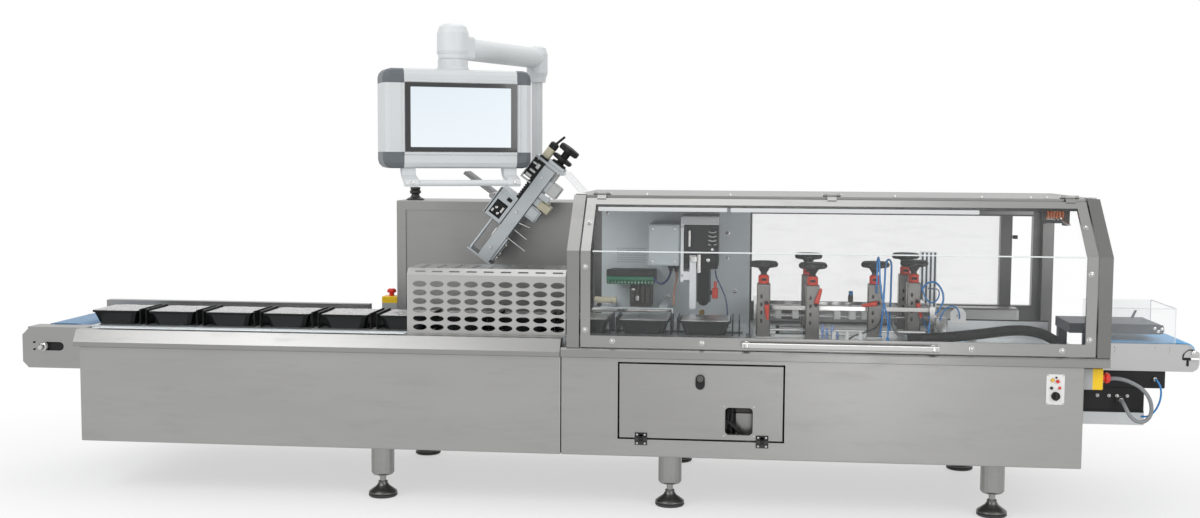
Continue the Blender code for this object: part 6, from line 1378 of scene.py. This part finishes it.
def make_drive_trim():
    """Screws, glands, the pale tray, the grey hose loop and the blue air tube of the outfeed drive."""
    face = 0.1068
    row = [(x, face, 0.463) for x in (1.9695, 2.0109, 2.0386, 2.0753)]
    piece("drive_screws", dome_heads(row, FRONT, 0.012), "fastener")
    tray = [prism(((0.0, 0.046), (0.0, 0.024), (0.022, 0.0), (0.238, 0.0), (0.238, 0.046)),
                  (1.8965, 0.1022, 0.3572), (1, 0, 0), (0, 0, 1), 0.0024)]
    piece("drive_tray_skin", tray, "light_box", slot="stainless", bevel=0.0008)
    gland = [lathe(((0.01, 0.0), (0.012, 0.002), (0.012, 0.012), (0.0105, 0.014), (0.0105, 0.026),
                    (0.008, 0.03)), (2.046, 0.1068, 0.452), FRONT, 18),
             lathe(((0.006, 0.0), (0.008, 0.001), (0.008, 0.01), (0.005, 0.014)), (2.1665, 0.1008, 0.529),
                   FRONT, 16)]
    piece("drive_glands", gland, "fastener")
    cord_piece("drive_hose", ((2.046, 0.088, 0.452), (2.047, 0.062, 0.448), (2.052, 0.04, 0.432),
                              (2.066, 0.03, 0.404), (2.09, 0.03, 0.384), (2.116, 0.032, 0.384),
                              (2.137, 0.036, 0.404), (2.142, 0.04, 0.436), (2.132, 0.042, 0.47),
                              (2.108, 0.044, 0.5), (2.076, 0.046, 0.52), (2.042, 0.05, 0.532),
                              (2.008, 0.058, 0.534), (1.98, 0.07, 0.524), (1.965, 0.082, 0.51)), 0.014,
               "grey_hose", 90, lay="hanging", sides=14)
    cord_piece("drive_air_tube", ((2.1665, 0.086, 0.529), (2.17, 0.072, 0.524), (2.1775, 0.064, 0.506),
                                  (2.181, 0.064, 0.48), (2.177, 0.066, 0.45), (2.166, 0.07, 0.421),
                                  (2.15, 0.076, 0.4), (2.137, 0.087, 0.392), (2.125, 0.101, 0.39)), 0.007,
               "blue_tube", 60, lay="hanging")


# Studio

def make_camera():
    """The camera that the photograph was taken with: place, turn, tilt, roll and focal length."""
    data = bpy.data.cameras.new("camera")
    data.sensor_width = 36.0
    data.lens = CAMERA_LENS
    camera = bpy.data.objects.new("camera", data)
    turns = ((CAMERA_TURN, "Z"), (CAMERA_TILT, "X"), (CAMERA_ROLL, "Z"))
    turn, tilt, roll = (Matrix.Rotation(radians(angle), 4, axis) for angle, axis in turns)
    camera.matrix_world = Matrix.Translation(CAMERA_PLACE) @ turn @ tilt @ roll
    bpy.context.scene.collection.objects.link(camera)
    bpy.context.scene.camera = camera


def seen_rays(tree):
    """1 for camera, glossy and transmission rays, else 0."""
    rays = tree.nodes.new("ShaderNodeLightPath")
    return maths(tree, "MAXIMUM", rays.outputs["Is Camera Ray"],
                 maths(tree, "MAXIMUM", rays.outputs["Is Glossy Ray"], rays.outputs["Is Transmission Ray"]))


def make_floor():
    """A pale floor whose camera view fades to white away from the machine."""
    data = bpy.data.meshes.new("floor")
    corners = [(x * FLOOR_REACH, y * FLOOR_REACH, -0.0005) for x, y in ((-1, -1), (1, -1), (1, 1), (-1, 1))]
    data.from_pydata(corners, [], [(0, 1, 2, 3)])
    floor = bpy.data.objects.new("floor", data)
    bpy.context.scene.collection.objects.link(floor)
    material, tree, shader, where = begin("pale_floor")
    shader.inputs["Base Color"].default_value = (0.93, 0.93, 0.93, 1)
    shader.inputs["Roughness"].default_value = 0.7
    flat = stretched(tree, where, (0.3, 0.52, 0.0))
    length = add(tree, "ShaderNodeVectorMath", operation="LENGTH")
    tree.links.new(flat, length.inputs[0])
    fade = add(tree, "ShaderNodeMapRange", interpolation_type="SMOOTHSTEP")
    tree.links.new(length.outputs["Value"], fade.inputs["Value"])
    fade.inputs["From Min"].default_value, fade.inputs["From Max"].default_value = FLOOR_FADE
    white = add(tree, "ShaderNodeEmission", Color=(1, 1, 1, 1), Strength=1.0)
    mix = tree.nodes.new("ShaderNodeMixShader")
    lift = maths(tree, "ADD", maths(tree, "MULTIPLY", fade.outputs[0], 1.0 - FLOOR_LIFT), FLOOR_LIFT)
    tree.links.new(maths(tree, "MULTIPLY", lift, seen_rays(tree)), mix.inputs[0])
    tree.links.new(shader.outputs[0], mix.inputs[1])
    tree.links.new(white.outputs[0], mix.inputs[2])
    tree.links.new(mix.outputs[0], tree.nodes["Material Output"].inputs[0])
    data.materials.append(material)


def make_world(strength):
    """A white surround for camera, gloss and glass, and a plain grey one for the light it gives."""
    world = bpy.data.worlds.new("studio")
    bpy.context.scene.world = world
    world.use_nodes = True
    tree = world.node_tree
    background = tree.nodes["Background"]
    background.inputs["Color"].default_value = (1, 1, 1, 1)
    tree.links.new(float_mix(tree, strength, 1.0, seen_rays(tree)), background.inputs["Strength"])


def make_lamps(key, fill, low):
    """Large soft lamps: high at the front left, at the right, over the top, and a small low one."""
    for name, place, size, energy in (("key", (-2.6, -3.4, 3.6), 2.6, key),
                                      ("fill", (3.4, -3.0, 2.4), 2.2, fill),
                                      ("top", (0.2, 0.6, 4.2), 3.2, fill),
                                      ("low", (1.25, -3.3, 0.35), 0.8, low)):
        data = bpy.data.lights.new(name, "AREA")
        data.shape = "SQUARE"
        data.size = size
        data.energy = energy
        lamp = bpy.data.objects.new(name, data)
        lamp.location = place
        lamp.rotation_euler = (Vector(LAMP_AIM) - Vector(place)).to_track_quat("-Z", "Y").to_euler()
        bpy.context.scene.collection.objects.link(lamp)


# Settings and operators

class SleeverTones(bpy.types.PropertyGroup):
    """Colours of the main finishes."""
    steel: FloatVectorProperty(name="Steel", description="Colour of the brushed sheets", subtype="COLOR",
                               size=3, min=0.0, max=1.0, default=(0.365, 0.363, 0.358))
    panel: FloatVectorProperty(name="Panel", description="Colour of the operator panel's coat",
                               subtype="COLOR", size=3, min=0.0, max=1.0, default=(0.6, 0.625, 0.635))
    belt: FloatVectorProperty(name="Belt", description="Colour of the conveyor belts", subtype="COLOR",
                              size=3, min=0.0, max=1.0, default=(0.1, 0.24, 0.42))
    collar: FloatVectorProperty(name="Collar", description="Colour of the collars and clamp levers",
                                subtype="COLOR", size=3, min=0.0, max=1.0, default=(0.62, 0.045, 0.018))


class SleeverStudio(bpy.types.PropertyGroup):
    """Light levels of the studio."""
    surround: FloatProperty(name="Surround", description="Light that comes evenly from all round",
                            default=0.62, min=0.0, max=2.0)
    key: FloatProperty(name="Key lamp", description="Power of the front left lamp", default=70.0, min=0.0,
                       unit="POWER")
    fill: FloatProperty(name="Fill lamps", description="Power of the right and top lamps", default=40.0,
                        min=0.0, unit="POWER")
    low: FloatProperty(name="Low lamp", description="Power of the small lamp near the floor", default=4.0,
                       min=0.0, unit="POWER")


class SLEEVER_OT_finishes(bpy.types.Operator):
    """Make every finish and give each node of the frame its own"""
    bl_idname = "sleever.finishes"
    bl_label = "Finishes"

    def execute(self, context):
        make_groups()
        make_finishes(context.scene.sleever_tones)
        finish_nodes()
        return {"FINISHED"}


class SLEEVER_OT_panel(bpy.types.Operator):
    """Add the display, lip, rings and screws of the operator panel"""
    bl_idname = "sleever.panel"
    bl_label = "Operator panel"

    def execute(self, context):
        make_panel_trim()
        return {"FINISHED"}


class SLEEVER_OT_magazine(bpy.types.Operator):
    """Add the screws, blocks, sheets and rods of the tilted magazine"""
    bl_idname = "sleever.magazine"
    bl_label = "Magazine"

    def execute(self, context):
        make_magazine_trim()
        return {"FINISHED"}


class SLEEVER_OT_guard(bpy.types.Operator):
    """Add the screws, light strips, latch and handle collars of the guard"""
    bl_idname = "sleever.guard"
    bl_label = "Guard"

    def execute(self, context):
        make_guard_trim()
        make_handle_trim()
        return {"FINISHED"}


class SLEEVER_OT_inside(bpy.types.Operator):
    """Add the fittings of the erecting and folding section inside the guard"""
    bl_idname = "sleever.inside"
    bl_label = "Inside units"

    def execute(self, context):
        make_units_trim()
        make_feed_trim()
        make_adjuster_trim()
        make_table_trim()
        return {"FINISHED"}


class SLEEVER_OT_lines(bpy.types.Operator):
    """Run the air tubes, cables and the coiled line inside the guard"""
    bl_idname = "sleever.lines"
    bl_label = "Air lines and cables"

    def execute(self, context):
        make_pneumatics()
        make_roof_coil()
        return {"FINISHED"}


class SLEEVER_OT_trays(bpy.types.Operator):
    """Lay a film or foil over each tray"""
    bl_idname = "sleever.trays"
    bl_label = "Tray films"

    def execute(self, context):
        make_tray_films()
        return {"FINISHED"}


class SLEEVER_OT_conveyors(bpy.types.Operator):
    """Add the fittings of the infeed, the cabinets, the outfeed and its drive"""
    bl_idname = "sleever.conveyors"
    bl_label = "Conveyors and cabinets"

    def execute(self, context):
        make_infeed_trim()
        make_cabinet_trim()
        make_feet()
        make_outfeed_trim()
        make_drive_trim()
        return {"FINISHED"}


class SLEEVER_OT_stage(bpy.types.Operator):
    """Set the floor, surround and lamps"""
    bl_idname = "sleever.stage"
    bl_label = "Studio"

    def execute(self, context):
        studio = context.scene.sleever_studio
        make_floor()
        make_world(studio.surround)
        make_lamps(studio.key, studio.fill, studio.low)
        context.scene.view_settings.view_transform = "Standard"
        return {"FINISHED"}


class SLEEVER_OT_camera(bpy.types.Operator):
    """Set the camera at the photograph's place"""
    bl_idname = "sleever.camera"
    bl_label = "Camera"

    def execute(self, context):
        make_camera()
        return {"FINISHED"}


OPERATORS = (SLEEVER_OT_camera, SLEEVER_OT_finishes, SLEEVER_OT_lines, SLEEVER_OT_panel,
             SLEEVER_OT_magazine, SLEEVER_OT_guard, SLEEVER_OT_inside, SLEEVER_OT_trays,
             SLEEVER_OT_conveyors, SLEEVER_OT_stage)


class SLEEVER_PT_dressing(bpy.types.Panel):
    """The dressing steps, with their colours and light levels"""
    bl_idname = "SLEEVER_PT_dressing"
    bl_label = "Carton sleeving machine"
    bl_space_type = "VIEW_3D"
    bl_region_type = "UI"
    bl_category = "Sleever"

    def draw(self, context):
        """Show each setting and each operator."""
        for group in (context.scene.sleever_tones, context.scene.sleever_studio):
            for name in group.bl_rna.properties.keys():
                if name not in {"rna_type", "name"}:
                    self.layout.prop(group, name)
        for operator in OPERATORS:
            self.layout.operator(operator.bl_idname)


CLASSES = (SleeverTones, SleeverStudio, *OPERATORS, SLEEVER_PT_dressing)


def register():
    """Add the settings, operators and panel to Blender."""
    for item in CLASSES:
        bpy.utils.register_class(item)
    bpy.types.Scene.sleever_tones = PointerProperty(type=SleeverTones)
    bpy.types.Scene.sleever_studio = PointerProperty(type=SleeverStudio)


def unregister():
    """Take the settings, operators and panel out of Blender."""
    del bpy.types.Scene.sleever_tones
    del bpy.types.Scene.sleever_studio
    for item in reversed(CLASSES):
        bpy.utils.unregister_class(item)


def main():
    """Register and run each step in order."""
    register()
    bpy.ops.sleever.camera()
    bpy.ops.sleever.finishes()
    bpy.ops.sleever.lines()
    bpy.ops.sleever.panel()
    bpy.ops.sleever.magazine()
    bpy.ops.sleever.guard()
    bpy.ops.sleever.inside()
    bpy.ops.sleever.trays()
    bpy.ops.sleever.conveyors()
    bpy.ops.sleever.stage()


if __name__ == "__main__":
    main()
